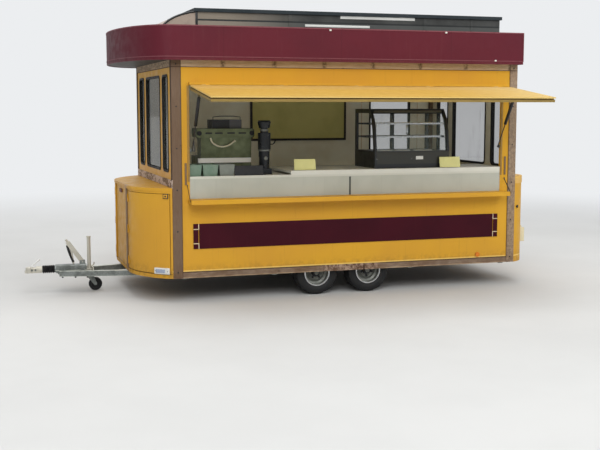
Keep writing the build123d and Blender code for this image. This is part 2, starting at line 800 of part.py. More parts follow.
def sign_board():
    x0, x1, z0, z1, s = sign_front_x, sign_rear_x, sign_bottom, sign_top, sign_step
    middle = box(x0 + s, x1 - s, -wall_face, -wall_face - sign_thick, z0, z1)
    gap = 9
    whole = [middle]
    for a, b in ((x0, x0 + s - gap), (x1 - s + gap, x1)):
        for c, d in ((z0, z0 + s - gap), (z0 + s, z1 - s), (z1 - s + gap, z1)):
            whole.append(box(a, b, -wall_face, -wall_face - sign_thick, c, d))
    return whole


def lamps():
    pieces = [rod((marker_x, -wall_face, marker_height), (marker_x, -wall_face - 14, marker_height), marker_diameter),
              rod((marker_x, wall_face, marker_height), (marker_x, wall_face + 14, marker_height), marker_diameter)]
    depth, width, height = front_marker_size
    pieces.append(box(-locker_depth - depth, -locker_depth, -width / 2, width / 2,
                      front_marker_height - height / 2, front_marker_height + height / 2))
    rear = body_length + rear_locker_depth
    for side in (-1, 1):
        y = side * (rear_locker_flat_half - rear_lamp_inset)
        depth, width, height = rear_lamp_size
        pieces.append(box(rear, rear + depth, y - width / 2, y + width / 2, rear_lamp_bottom, rear_lamp_bottom + height))
    return pieces


# Awning
awning_thick = awning_skin + awning_groove + awning_frame_depth
awning_y = -(half_width + awning_wall_gap + awning_thick)


def awning_place(shape):
    """From a flat awning that reaches to minus y at height 0, to its place and slope."""
    return Pos(0, awning_y, awning_axis_height) * Rot(awning_slope, 0, 0) * shape


def awning():
    x0, x1, r, s = awning_front_x, awning_rear_x, awning_reach, awning_skin
    w, d = awning_frame_width, awning_thick
    skin = box(x0, x1, -hinge_edge, -r, -s, 0)
    hollow = box(x0 + w, x1 - w, -w, -r + w, -d - 1, -s)
    whole = skin
    for setback, low, high in ((awning_groove_setback, -s - awning_groove, -s),
                               (awning_frame_setback, -d, -s - awning_groove)):
        whole += box(x0 + setback, x1 - setback, -hinge_edge, -r + setback, low, high) - hollow
    pitch = (x1 - x0 - w) / (awning_ribs + 1)
    for i in range(1, awning_ribs + 1):
        x = x0 + i * pitch
        whole += box(x, x + w, -w / 2, -r + w / 2, -d, -s)
    for x in strut_x:
        inner = x0 + w if x < body_length / 2 else x1 - w
        whole += box(x - 16, inner, -strut_anchor_reach - 14, -strut_anchor_reach + 14, -s - 26, -s)
        whole += rod((x - 9, -strut_anchor_reach, -strut_anchor_drop), (x + 9, -strut_anchor_reach, -strut_anchor_drop),
                     strut_pin_diameter)
        for side in (-1, 1):
            whole += box(x + side * 9, x + side * 14, -strut_anchor_reach - 10, -strut_anchor_reach + 10,
                         -strut_anchor_drop - 8, -s - 20)
    for x in hinge_places(x0, x1, awning_hinge_spots):
        whole += knuckle_pair((x, 0, 0), (1, 0, 0), knuckle_length, knuckle_diameter)[0]
        whole += box(x, x + knuckle_length, 0, -hinge_edge - 4, -4, 0)
    return awning_place(whole)


def hinge_places(x0, x1, count):
    inset = 120
    pitch = (x1 - x0 - 2 * inset - 2 * knuckle_length) / (count - 1)
    return [x0 + inset + i * pitch for i in range(count)]


def awning_batten():
    """Batten on the hatch wall that carries the fixed half of the awning's hinge."""
    x0, x1, z = awning_front_x, awning_rear_x - 14, awning_axis_height
    batten = box(x0, x1, -wall_face, awning_y + hinge_edge, z + 2, z + 2 + batten_height)
    for x in hinge_places(awning_front_x, awning_rear_x, awning_hinge_spots):
        batten += knuckle_pair((x, awning_y, z), (1, 0, 0), knuckle_length, knuckle_diameter)[1]
        x += knuckle_length + seat_gap
        batten += box(x, x + knuckle_length, awning_y, awning_y + hinge_edge + 2, z, z + 5)
    return batten


def turn(y, z, degrees):
    a = math.radians(degrees)
    return y * math.cos(a) - z * math.sin(a), y * math.sin(a) + z * math.cos(a)


anchor_dy, anchor_dz = turn(-strut_anchor_reach, -strut_anchor_drop, awning_slope)
anchor_y = awning_y + anchor_dy
anchor_z = awning_axis_height + anchor_dz
foot_y = -(half_width - strut_foot_inset)
strut_run = math.hypot(foot_y - anchor_y, strut_foot_height - anchor_z)
strut_dir_y = (foot_y - anchor_y) / strut_run
strut_dir_z = (strut_foot_height - anchor_z) / strut_run


def along_strut(x, distance):
    return (x, anchor_y + strut_dir_y * distance, anchor_z + strut_dir_z * distance)


def strut_tube(x):
    tube = rod(along_strut(x, 22), along_strut(x, strut_tube_length), strut_tube_diameter)
    tube -= rod(along_strut(x, strut_tube_plug), along_strut(x, strut_tube_length + 1),
                strut_rod_diameter + 2 * seat_gap)
    eye = Pos(x, anchor_y, anchor_z) * Rot(0, 90, 0) * Cylinder(strut_eye_diameter / 2, 8)
    neck = rod(along_strut(x, 7), along_strut(x, 24), strut_neck_diameter)
    bore = Pos(x, anchor_y, anchor_z) * Rot(0, 90, 0) * Cylinder(strut_pin_diameter / 2 + seat_gap, 20)
    return tube + eye + neck - bore


def strut_rod(x):
    inside = strut_tube_length - strut_rod_overlap
    whole = rod(along_strut(x, inside), along_strut(x, strut_run - 6), strut_rod_diameter)
    eye = Pos(x, foot_y, strut_foot_height) * Rot(0, 90, 0) * Cylinder(strut_eye_diameter / 2, 8)
    bore = Pos(x, foot_y, strut_foot_height) * Rot(0, 90, 0) * Cylinder(strut_pin_diameter / 2 + strut_eye_play, 20)
    return whole + eye - bore


def strut_feet():
    pieces = []
    for x, jamb in zip(strut_x, (hatch_front_x, hatch_rear_x)):
        side = 1 if x > jamb else -1
        foot = box(jamb, x - side * 14, foot_y - 14, foot_y + 14, strut_foot_height - 16, strut_foot_height + 16)
        foot += rod((x - side * 14, foot_y, strut_foot_height), (x + side * 7, foot_y, strut_foot_height),
                    strut_pin_diameter)
        pieces.append(foot)
    return pieces


# Serving shelf
shelf_y = -half_width
shelf_hinge_z = hatch_bottom - knuckle_diameter / 2


def shelf_hinge():
    """Fixed half of the shelf's hinge, on the hatch wall."""
    whole = Part()
    for x in hinge_places(shelf_front_x, shelf_rear_x, shelf_hinge_spots):
        whole += knuckle_pair((x, shelf_y, shelf_hinge_z), (1, 0, 0), knuckle_length, knuckle_diameter)[1]
        x += knuckle_length + seat_gap
        whole += box(x, x + knuckle_length, shelf_y, -wall_face, shelf_hinge_z - 3, shelf_hinge_z + 3)
    return whole


def serving_shelf():
    x0, x1, r, t = shelf_front_x, shelf_rear_x, shelf_reach, shelf_thick
    edge = shelf_y - hinge_edge
    whole = box(x0, x1, edge, shelf_y - r, hatch_bottom - t, hatch_bottom)
    for x in hinge_places(x0, x1, shelf_hinge_spots):
        whole += knuckle_pair((x, shelf_y, shelf_hinge_z), (1, 0, 0), knuckle_length, knuckle_diameter)[0]
        whole += box(x, x + knuckle_length, shelf_y, edge - 2, shelf_hinge_z - 3, shelf_hinge_z + 3)
    whole -= box(x0 + shelf_lip, x1 - shelf_lip, edge - shelf_lip, shelf_y - r + shelf_lip,
                 hatch_bottom - t - 1, hatch_bottom - t + shelf_hollow)
    for x, side in ((x0, -1), (x1, 1)):
        whole += rod((x - side * 2, shelf_y - r + 12, hatch_bottom - 14), (x + side * 5, shelf_y - r + 12, hatch_bottom - 14), 8)
    return whole


def shelf_stays():
    pieces = []
    for x, side in ((shelf_front_x, -1), (shelf_rear_x, 1)):
        plane_x = x + side * 9
        top = (0, stay_y, stay_top_height)
        foot = (0, shelf_y - shelf_reach + 12, hatch_bottom - 14)
        run = math.hypot(foot[1] - top[1], foot[2] - top[2])
        tilt = math.degrees(math.atan2(foot[2] - top[2], foot[1] - top[1]))
        plane = Plane(origin=(plane_x, (top[1] + foot[1]) / 2, (top[2] + foot[2]) / 2), x_dir=(0, 1, 0), z_dir=(1, 0, 0))
        strap = extrude(plane * Rot(0, 0, tilt) * SlotCenterToCenter(run, stay_width), stay_thick / 2, both=True)
        strap -= Pos(plane_x, stay_y, stay_top_height) * Rot(0, 90, 0) * Cylinder(3, 20)
        pieces.append(strap)
    return pieces


stay_y = -(half_width + 8)


def stay_pins():
    pieces = []
    for x, side in ((shelf_front_x, -1), (shelf_rear_x, 1)):
        x += side * 9
        pin = rod((x - 5, stay_y, stay_top_height), (x + 6, stay_y, stay_top_height), 5)
        ear = box(x + 3, x + 6, stay_y - 6, -wall_face, stay_top_height - 8, stay_top_height + 8)
        pieces.append(pin + ear)
    return pieces


# Inside
def cabinet(x0, x1, y_wall, y_open, top, boards):
    """Worktop on upright boards with a bottom shelf, closed to the wall and open inwards."""
    b = counter_board
    whole = box(x0, x1, y_wall, y_open, top - worktop_thick, top)
    inward = 1 if y_open > y_wall else -1
    whole += box(x0, x1, y_wall, y_wall + inward * b, counter_shelf_height, top - worktop_thick)
    whole += box(x0, x1, y_wall, y_open - inward * 20, counter_shelf_height, counter_shelf_height + b)
    for x in boards:
        whole += box(x, x + b, y_wall, y_open - inward * 20, floor_top, top - worktop_thick)
    return whole


def counter():
    x0, x1 = hatch_front_x - 40, hatch_rear_x + 40
    y = -wall_inner
    low = cabinet(x0, worktop_step_x, y, y + counter_depth_front, worktop_low,
                  (x0, wheel_box_front - wheel_box_board_gap - counter_board))
    high = cabinet(worktop_step_x, x1, y, y + counter_depth_rear, worktop_high,
                   (wheel_box_rear + wheel_box_board_gap, x1 - counter_board))
    panel = box(hatch_front_x, hatch_rear_x, y, -wall_face + 3, hatch_bottom, hatch_bottom + upstand_height)
    cap = box(worktop_step_x, hatch_rear_x, y, -wall_face + 3, hatch_bottom + upstand_height, worktop_high)
    return low + high + panel + cap


def back_counter():
    x0, x1 = back_counter_x
    y = wall_inner
    return cabinet(x0, x1, y, y - back_counter_depth, back_counter_top,
                   (x0, wheel_box_front - wheel_box_board_gap - counter_board, wheel_box_rear + wheel_box_board_gap,
                    x1 - counter_board))


def menu_board():
    y = wall_inner
    x0, x1 = menu_x
    z0, z1 = menu_height
    board = box(x0, x1, y - menu_thick, y, z0, z1)
    w = menu_frame_width
    return board - box(x0 + w, x1 - w, y - menu_thick - 1, y - menu_thick + 8, z0 + w, z1 - w)


def espresso_machine():
    """Two-group machine with its back to the hatch: tray, block, and a head with a wide bar at the back."""
    x0, x1 = machine_x
    y0, y1 = machine_front_y, machine_front_y + machine_depth
    base, head, top = machine_base_top, machine_head_bottom, machine_top
    profile = make_face(Polyline(
        (y0, head), (y0 + 14, base), (y0 + 14, machine_tray_bottom), (y1, machine_tray_bottom), (y1, base),
        (y0 + machine_block_depth, base), (y0 + machine_block_depth, head), (y1 - 40, head), (y1 - 10, head + 50),
        (y1 - 40, top), (y0, top), (y0, head)))
    plane = Plane(origin=(x0, 0, 0), x_dir=(0, 1, 0), z_dir=(1, 0, 0))
    whole = extrude(plane * profile, x1 - x0)
    bar = box(*machine_bar_x, y0 - machine_bar_proud, y0 + 60, head, top)
    whole += fillet(bar.edges().filter_by(Axis.Y), 22)
    whole += box(x0 - 34, x1 - 10, y0 - 20, y0 + 20, *machine_tray_rail)
    for x in (x0 + 60, x1 - 60):
        for y in (y0 + 70, y1 - 60):
            whole += rod((x, y, worktop_low), (x, y, machine_tray_bottom + 1), machine_leg_diameter)
    for x in (x0 + machine_group_inset, x1 - machine_group_inset):
        whole += rod((x, y1 - 130, head + 1), (x, y1 - 130, head - machine_group_drop), 62)
        whole += rod((x, y1 - 130, head - 34), (x, y1 + machine_handle_reach, head - 42), 22)
    depth, height = warmer_size
    return whole + box(*warmer_x, y0 + 40, y0 + 40 + depth, top, top + height)


def coffee_grinder():
    x, y, z = grinder_x, grinder_y, worktop_low
    whole = Pos(x, y, z) * Box(*grinder_base, align=(Align.CENTER, Align.CENTER, Align.MIN))
    tops = [step[0] for step in grinder_steps[1:]] + [grinder_top]
    for (low, wide_low, wide_high), high in zip(grinder_steps, tops):
        whole += loft([Pos(x, y, low) * Circle(wide_low / 2), Pos(x, y, high) * Circle(wide_high / 2)])
    reach, width, height = grinder_chute
    z_chute = grinder_steps[1][0] - height
    return whole + box(x - width / 2, x + width / 2, y + 20, y + 60 + reach, z_chute, z_chute + height)


def storage_boxes():
    width, depth, height = box_size
    pieces = []
    for x in box_x:
        cx, cy = x + width / 2, box_y
        outer = loft([Pos(cx, cy, worktop_low) * Rectangle(width - 22, depth - 22),
                      Pos(cx, cy, worktop_low + height) * Rectangle(width, depth)])
        inner = loft([Pos(cx, cy, worktop_low + 4) * Rectangle(width - 30, depth - 30),
                      Pos(cx, cy, worktop_low + height + 1) * Rectangle(width - 8, depth - 8)])
        pieces.append(outer - inner)
    return pieces


def case_front(inset):
    """Points of the case's leaning front, from its base up, moved in by a distance."""
    z = worktop_high + case_base_height
    return [(case_y[0] + back + inset, z + up) for back, up in case_lean]


def display_case():
    x0, x1 = case_x
    y0, y1 = case_y
    z0, z1, p = worktop_high, case_top, case_post
    z_base = z0 + case_base_height
    plane = Plane(origin=(x0, 0, 0), x_dir=(0, 1, 0), z_dir=(1, 0, 0))
    side = make_face(Polyline(*case_front(0), (y1, z1), (y1, z_base), (y0, z_base)))
    inner = case_front(p)[:-1] + [(y0 + case_lean[-1][0] + p * 0.4, z1 - p)]
    hole = make_face(Polyline(*inner, (y1 - p, z1 - p), (y1 - p, z_base), inner[0]))
    frame = extrude(plane * (side - hole), case_side_thick)
    whole = box(x0, x1, y0, y1, z0, z_base) + frame + Pos(x1 - x0 - case_side_thick, 0, 0) * frame
    y_top = y0 + case_lean[-1][0]
    whole += box(x0, x1, y_top, y1, z1 - 6, z1) + box(x0, x1, y1 - 24, y1, z1 - p, z1)
    rail = make_face(Polyline((y_top, z1), (y_top + 60, z1), (y_top + 60, z1 - 20), (y_top, z1 - case_top_rail),
                              (y_top - 26, z1 - 34), (y_top, z1)))
    whole += extrude(plane * rail, x1 - x0)
    whole += box(case_middle_post_x - 21, case_middle_post_x + 21, y1 - 24, y1, z_base, z1)
    for z in case_shelf_heights:
        whole += box(x0, x1, y1 - 24, y1, z - case_shelf_edge / 2, z + case_shelf_edge / 2)
        for x in (x0, x1 - case_side_thick):
            inward = 12 if x == x0 else -12
            whole += box(x + inward, x + inward + case_side_thick, y0 + p + 24, y1 - 24, z - case_shelf_edge / 2, z - 2)
    return whole


def display_glass():
    """Leaning front pane and the shelves."""
    x0, x1 = case_x
    y0, y1 = case_y
    t, p = case_glass_thick, case_side_thick
    plane = Plane(origin=(x0 + p + 1, 0, 0), x_dir=(0, 1, 0), z_dir=(1, 0, 0))
    front, back = case_front(8), case_front(8 + t)
    front[-1], back[-1] = (front[-1][0] - 18, case_top - case_top_rail - 4), (back[-1][0] - 18, case_top - case_top_rail - 4)
    pieces = [extrude(plane * make_face(Polyline(*front, *reversed(back), front[0])), x1 - x0 - 2 * p - 2)]
    for z in case_shelf_heights:
        pieces.append(box(x0 + p + 1, x1 - p - 1, y0 + case_post + 26, y1 - 25, z - 2 + seat_gap, z + 4))
    return pieces


def entrance_door():
    leaf = box(door_front_x, door_rear_x, wall_inner, wall_face, door_bottom, door_top)
    middle = (door_front_x + door_rear_x) / 2
    plane = Plane(origin=(middle, 0, (pane_bottom + pane_top) / 2), x_dir=(1, 0, 0), z_dir=(0, -1, 0))
    pane = plane * RectangleRounded(door_window_width, pane_top - pane_bottom, pane_radius)
    leaf -= extrude(pane, 3 * half_width, both=True)
    x = door_front_x + 60
    leaf += box(x - 18, x + 18, wall_face - 1, wall_face + 6, handle_height - 70, handle_height + 70)
    leaf += rod((x, wall_face, handle_height), (x, wall_face + 45, handle_height), 14)
    leaf += rod((x - 6, wall_face + 45, handle_height), (x + 105, wall_face + 45, handle_height), 16)
    return leaf + door_hinge(False)


def door_hinge(fixed):
    x, y = door_rear_x + move_gap / 2, wall_face + door_hinge_offset
    side = 1 if fixed else -1
    whole = Part()
    for z in door_hinge_spots:
        pair = knuckle_pair((x, y, z), (0, 0, 1), knuckle_length, knuckle_diameter)
        z0 = z + (knuckle_length + seat_gap if fixed else 0)
        whole += pair[1 if fixed else 0]
        whole += box(x + side, x + side * 40, wall_face, y + 2, z0, z0 + knuckle_length)
    return whole


def door_glass():
    middle = (door_front_x + door_rear_x) / 2
    y = (wall_inner + wall_face + glass_thick) / 2
    plane = Plane(origin=(middle, y, (pane_bottom + pane_top) / 2), x_dir=(1, 0, 0), z_dir=(0, -1, 0))
    pane = plane * RectangleRounded(door_window_width, pane_top - pane_bottom, pane_radius)
    return extrude(pane, glass_thick)


save("chassis", chassis())
save("axles", *axles())
tyre_blank, rim_blank = tyre(), rim()
for side, side_name in ((-1, "near"), (1, "far")):
    for x, place in zip(axle_x, ("front", "rear")):
        where = Pos(x, side * wheel_y, axle_height) * Rot(0, 0, side * 90)
        save("tyre_" + side_name + "_" + place, where * tyre_blank)
        save("rim_" + side_name + "_" + place, where * rim_blank)
save("overrun_housing", overrun())
save("drawshaft_bellows", bellows())
save("coupling_head", coupling_head())
save("coupling_handle", coupling_handle())
save("handbrake_lever", handbrake_lever())
save("jockey_leg", jockey_leg())
save("jockey_fork", jockey_fork())
save("jockey_wheel", jockey_wheel())
save("floor", floor_panel())
save("timber_frame", timber_frame())
save("hatch_wall", hatch_wall())
save("far_wall", far_wall())
save("front_wall", end_wall(wall_inset))
save("rear_wall", end_wall(body_length - wall_inset - wall_thick))
save("front_glass", *end_glass(wall_inset))
save("rear_glass", *end_glass(body_length - wall_inset - wall_thick))
save("front_locker", front_locker())
save("locker_door_near", locker_door())
save("locker_door_far", mirrored(locker_door()))
rear_locker = locker(rear_locker_depth, rear_locker_flat_half, rear_locker_bulge)
save("rear_locker", Pos(body_length, 0, 0) * Rot(0, 0, 180) * rear_locker)
save("fascia", fascia())
save("soffit", soffit())
save("roof_deck", roof_deck())
save("roof_lantern", roof_lantern())
save("sign_board", *sign_board())
save("lamps", *lamps())
save("awning", awning())
for x, place in zip(strut_x, ("front", "rear")):
    save("strut_tube_" + place, strut_tube(x))
    save("strut_rod_" + place, strut_rod(x))
save("hatch_brackets", *strut_feet(), *stay_pins())
save("serving_shelf", serving_shelf())
save("shelf_stays", *shelf_stays())
save("counter", counter())
save("back_counter", back_counter())
save("menu_board", menu_board())
save("espresso_machine", espresso_machine())
save("coffee_grinder", coffee_grinder())
save("storage_boxes", *storage_boxes())
save("display_case", display_case())
save("display_glass", *display_glass())
save("entrance_door", entrance_door())
save("door_glass", door_glass())
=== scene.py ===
import bpy
import math
from mathutils import Matrix, Vector


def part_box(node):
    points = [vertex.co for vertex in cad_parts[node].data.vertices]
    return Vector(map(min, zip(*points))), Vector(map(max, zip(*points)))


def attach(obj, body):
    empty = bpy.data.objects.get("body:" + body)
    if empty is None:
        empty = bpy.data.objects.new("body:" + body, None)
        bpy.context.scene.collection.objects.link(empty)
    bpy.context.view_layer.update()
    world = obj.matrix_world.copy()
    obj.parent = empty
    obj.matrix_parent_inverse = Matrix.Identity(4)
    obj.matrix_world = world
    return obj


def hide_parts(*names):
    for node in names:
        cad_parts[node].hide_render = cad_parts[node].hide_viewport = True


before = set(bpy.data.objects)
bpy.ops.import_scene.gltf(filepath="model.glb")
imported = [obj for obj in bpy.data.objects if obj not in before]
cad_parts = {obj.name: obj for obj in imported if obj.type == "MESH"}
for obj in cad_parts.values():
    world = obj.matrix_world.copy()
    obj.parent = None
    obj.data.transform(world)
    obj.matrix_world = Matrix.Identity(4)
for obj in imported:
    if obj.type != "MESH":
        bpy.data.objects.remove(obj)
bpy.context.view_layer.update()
print("frame loaded")

# The row's zero is the tow ball's centre; x runs back, minus y is the hatch side
place = {
    "ground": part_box("tyre_near_front")[0].z,
    "bodyFront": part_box("front_wall")[0].x - 0.008,
    "bodyLength": 3.79,
    "wallFace": 1.042,
    "wallInner": 1.012,
}


# Places along the body are given from its front, heights from the ground
def back(run):
    return place["bodyFront"] + run


def up(height):
    return place["ground"] + height


def spot(run, across, height):
    return Vector((back(run), across, up(height)))


def fromBody(which, measure):
    return {"x": back, "y": float, "z": up}[which](measure)


# Camera, worked out from the photograph's own lines
cameraView = {"spot": spot(-1.9208, -11.0618, 1.9383), "turn": 0.3129, "dip": 0.1131, "lens": 62.005}
cameraData = bpy.data.cameras.new("photoCamera")
cameraData.sensor_width = 36
cameraData.lens = cameraView["lens"]
cameraData.clip_end = 200
camera = bpy.data.objects.new("photoCamera", cameraData)
bpy.context.scene.collection.objects.link(camera)
camera.matrix_world = (Matrix.Translation(cameraView["spot"])
                       @ Matrix.Rotation(-cameraView["turn"], 4, "Z")
                       @ Matrix.Rotation(math.pi / 2 - cameraView["dip"], 4, "X"))
bpy.context.scene.camera = camera
bpy.context.scene.view_settings.view_transform = "Standard"
print("camera placed")


# Colours are given as they look on a screen, 0 to 255
def tint(*levels):
    def linear(level):
        level /= 255
        return level / 12.92 if level <= 0.04045 else ((level + 0.055) / 1.055) ** 2.4
    return tuple(linear(level) for level in levels) + (1,)


def shade(colour, amount):
    return tuple(level * amount for level in colour[:3]) + (1,)


# A shader node with its settings, then its inputs, which are values or other nodes' outputs
def added(tree, kind, inputs, **settings):
    node = tree.nodes.new("ShaderNode" + kind)
    for key, value in settings.items():
        setattr(node, key, value)
    for key, value in inputs.items():
        put(tree, node.inputs[key], value)
    return node


def put(tree, target, value):
    if isinstance(value, bpy.types.NodeSocket):
        tree.links.new(value, target)
    else:
        target.default_value = value


# Shader building blocks; noise is given as size, detail, roughness and stretch
class Finish:
    def __init__(self, name):
        self.material = bpy.data.materials.new(name)
        self.material.use_nodes = True
        self.tree = self.material.node_tree
        self.shader = self.tree.nodes["Principled BSDF"]
        self.coord = self.node("TexCoord", {}).outputs["Object"]
        self.split = None
        self.face = None

    def node(self, kind, inputs, **settings):
        return added(self.tree, kind, inputs, **settings)

    def space(self, stretch):
        return self.node("Mapping", {"Scale": stretch, "Vector": self.coord}).outputs["Vector"]

    def noise(self, size, detail=4, rough=0.55, stretch=(1, 1, 1)):
        values = {"Scale": 1 / size, "Detail": detail, "Roughness": rough, "Vector": self.space(stretch)}
        return self.node("TexNoise", values).outputs["Fac"]

    def cells(self, size, stretch, output):
        return self.node("TexVoronoi", {"Scale": 1 / size, "Vector": self.space(stretch)}).outputs[output]

    def span(self, value, low, high, start=0.0, end=1.0):
        values = {"From Min": low, "From Max": high, "To Min": start, "To Max": end, "Value": value}
        return self.node("MapRange", values, interpolation_type="SMOOTHSTEP").outputs["Result"]

    def cloud(self, grain, *levels):
        return self.span(self.noise(*grain), *levels)

    def sums(self, what, first, second):
        return self.node("Math", {0: first, 1: second}, operation=what).outputs[0]

    def times(self, first, *others):
        for other in others:
            first = self.sums("MULTIPLY", first, other)
        return first

    def either(self, first, *others):
        for other in others:
            first = self.sums("MAXIMUM", first, other)
        return first

    def rest(self, mask):
        return self.sums("SUBTRACT", 1, mask)

    def mix(self, share, first, second):
        return self.node("Mix", {0: share, 6: first, 7: second}, data_type="RGBA").outputs[2]

    def axis(self, which):
        if self.split is None:
            self.split = self.node("SeparateXYZ", {0: self.coord})
        return self.split.outputs["xyz".index(which)]

    def distance(self, normal, start):
        value = self.node("VectorMath", {0: self.coord, 1: normal}, operation="DOT_PRODUCT").outputs["Value"]
        return self.sums("SUBTRACT", value, Vector(normal).dot(start))

    def window(self, value, low, high, soft=0.0015):
        rise = self.span(value, low - soft, low + soft)
        return self.times(rise, self.span(value, high - soft, high + soft, 1, 0))

    # By place: x runs back from the body's front, z up from the ground
    def step(self, which, low, high, *ends):
        return self.span(self.axis(which), fromBody(which, low), fromBody(which, high), *ends)

    def band(self, which, low, high, soft=0.0015):
        return self.window(self.axis(which), fromBody(which, low), fromBody(which, high), soft)

    # The first tones of the face, then one more wherever the masks let it through
    def base(self, share, first, second):
        self.face = self.mix(share, first, second)

    def coat(self, tone, *masks):
        self.face = self.mix(self.times(*masks), self.face, tone)

    def bump(self, height, depth, strength=1.0):
        node = self.node("Bump", {"Strength": strength, "Distance": depth, "Height": height})
        normal = self.shader.inputs["Normal"]
        if normal.is_linked:
            put(self.tree, node.inputs["Normal"], normal.links[0].from_socket)
        put(self.tree, normal, node.outputs["Normal"])

    def done(self, rough, shine=None, **sockets):
        sockets = {"Base_Color": self.face, "Roughness": rough, "Specular_IOR_Level": shine, **sockets}
        for key, value in sockets.items():
            if value is not None:
                put(self.tree, self.shader.inputs[key.replace("_", " ")], value)
        return self.material


# Painted boards: faded patches, rain streaks, grime low down and a brushed surface
def paintedBoard(skin, look):
    skin.base(skin.cloud((0.9, 3), 0.35, 0.7), look["main"], look["faded"])
    skin.coat(look["grime"], skin.cloud((0.03, 5, 0.6, (1, 1, 0.05)), 0.56, 0.8, 0, look["runs"]))
    skin.coat(look["grime"], skin.cloud((0.012, 5, 0.7), 0.68, 0.78, 0, look["specks"]))
    low = skin.step("z", *look["splash"], look["splashShare"], 0)
    splash = skin.times(low, skin.cloud((0.05, 6, 0.65), 0.35, 0.65))
    skin.coat(look["grime"], splash)
    skin.bump(skin.noise(0.006, 3, stretch=(1, 1, 0.25)), 0.0006, 0.4)
    skin.bump(skin.noise(0.25, 2), look["waves"], 0.25)
    rough = skin.cloud((0.08, 5), 0.3, 0.7, look["gloss"] - 0.07, look["gloss"] + 0.13)
    return skin.sums("ADD", rough, skin.times(splash, 0.3))


yellowLook = {"main": tint(210, 158, 46), "faded": tint(203, 150, 50), "grime": tint(118, 92, 50),
              "runs": 0.16, "specks": 0.2, "splash": (0.29, 0.42), "splashShare": 0.42, "gloss": 0.42,
              "waves": 0.004}


# The room inside the four walls, whose panels are given by their thickness
def cabin(skin, panel, over):
    return skin.times(skin.band("x", panel, place["bodyLength"] - panel),
                      skin.band("y", -place["wallInner"] - over, place["wallInner"] + over))


# Walls are yellow outside and white inside, with the same white in their reveals
def yellowPaint():
    look = {"liner": (tint(246, 240, 216), tint(236, 226, 198)), "deep": tint(176, 124, 8),
            "wornAndShadedTone": tint(146, 106, 74), "sunned": tint(242, 218, 160), "lip": tint(246, 214, 128),
            "shadow": tint(96, 66, 22), "panel": 0.012, "floorTop": (0.33, 0.335),
            "bowFront": (-0.345, -0.325), "shadeBandFrom": (-0.44, -0.43), "shadeBandTo": (-0.40, -0.22),
            "lidTop": (1.1145, 1.1155), "lidFront": (3.792, 3.794), "wallFront": (-0.006, -0.004),
            "lipEnds": (0.314, 0.328), "footEnds": (0.287, 0.298)}
    skin = Finish("yellowPaint")
    rough = paintedBoard(skin, yellowLook)
    inside = skin.times(cabin(skin, look["panel"], 0.0015), skin.step("z", *look["floorTop"]))
    skin.coat(skin.mix(skin.cloud((0.3, 4), 0.35, 0.7), *look["liner"]), inside)
    # Painted shade: the bowed front of the locker is painted a deeper, darker yellow
    front = skin.step("x", *look["bowFront"], 1, 0)
    skin.coat(look["deep"], front, 0.5)
    # Painted shade: a soft brown band across the bowed front beside the near corner strip, fading off towards
    # the middle
    skin.coat(look["wornAndShadedTone"], front, skin.step("y", *look["shadeBandTo"], 0.7, 0), skin.step("y", *look["shadeBandFrom"]))
    lid = skin.times(skin.step("z", *look["lidTop"]), skin.step("x", *look["lidFront"]))
    skin.coat(look["sunned"], lid, 0.25)
    wall = skin.step("x", *look["wallFront"])
    skin.coat(look["lip"], skin.band("z", *look["lipEnds"]), skin.rest(inside), wall, 0.55)
    skin.coat(look["shadow"], skin.band("z", *look["footEnds"]), skin.rest(wall), 0.6)
    return skin.done(rough, 0.16)


# Awning: skin, painted shadow on the groove under its lip, a timber frame band painted darker as painted
# shade, and a painted sky reflection on the rear part of its top
def awningPaint():
    look = {"slope": math.radians(7.5), "hinge": Vector((0, -1.108, up(2.158))), "skin": -0.0125,
            "groove": -0.0245, "lip": tint(232, 204, 132), "pale": tint(188, 154, 98),
            "shadow": tint(84, 56, 14), "frame": tint(150, 126, 70), "seam": tint(170, 140, 70)}
    skin = Finish("awningPaint")
    rough = paintedBoard(skin, dict(yellowLook, main=tint(192, 151, 41), faded=tint(186, 144, 45),
                                    specks=0.03, runs=0.03, gloss=0.55, waves=0.0005))
    depth = skin.distance((0, -math.sin(look["slope"]), math.cos(look["slope"])), look["hinge"])
    under = skin.span(depth, look["skin"] - 0.0004, look["skin"] + 0.0004, 1, 0)
    below = skin.span(depth, look["groove"] - 0.0004, look["groove"] + 0.0004, 1, 0)
    edge = skin.times(skin.span(depth, -0.0022, -0.0014, 1, 0), skin.rest(under))
    grain = skin.cloud((0.008, 5, 0.65, (0.06, 1, 1)), 0.3, 0.7)
    timber = skin.mix(grain, look["frame"], shade(look["frame"], 0.7))
    top = skin.span(depth, -0.0022, -0.0014)
    hinge = look["hinge"].y
    skin.coat(look["pale"], top, skin.step("y", hinge - 0.300, hinge - 0.290, 0.35, 0.65))
    # Painted sky reflection: the top turns paler towards the rear end
    skin.coat(tint(240, 224, 172), top, skin.step("x", 2.4, 3.9, 0, 0.28))
    skin.coat(look["seam"], top, skin.band("y", hinge - 0.304, hinge - 0.290), 0.6)
    skin.coat(look["lip"], edge, 0.7)
    # Painted shadow: the groove under the skin's lip is painted dark
    skin.coat(look["shadow"], under)
    # Frame band under the groove: timber grain, in a brown-yellow that is darkened as painted shade
    skin.coat(timber, below)
    return skin.done(rough, 0.2)


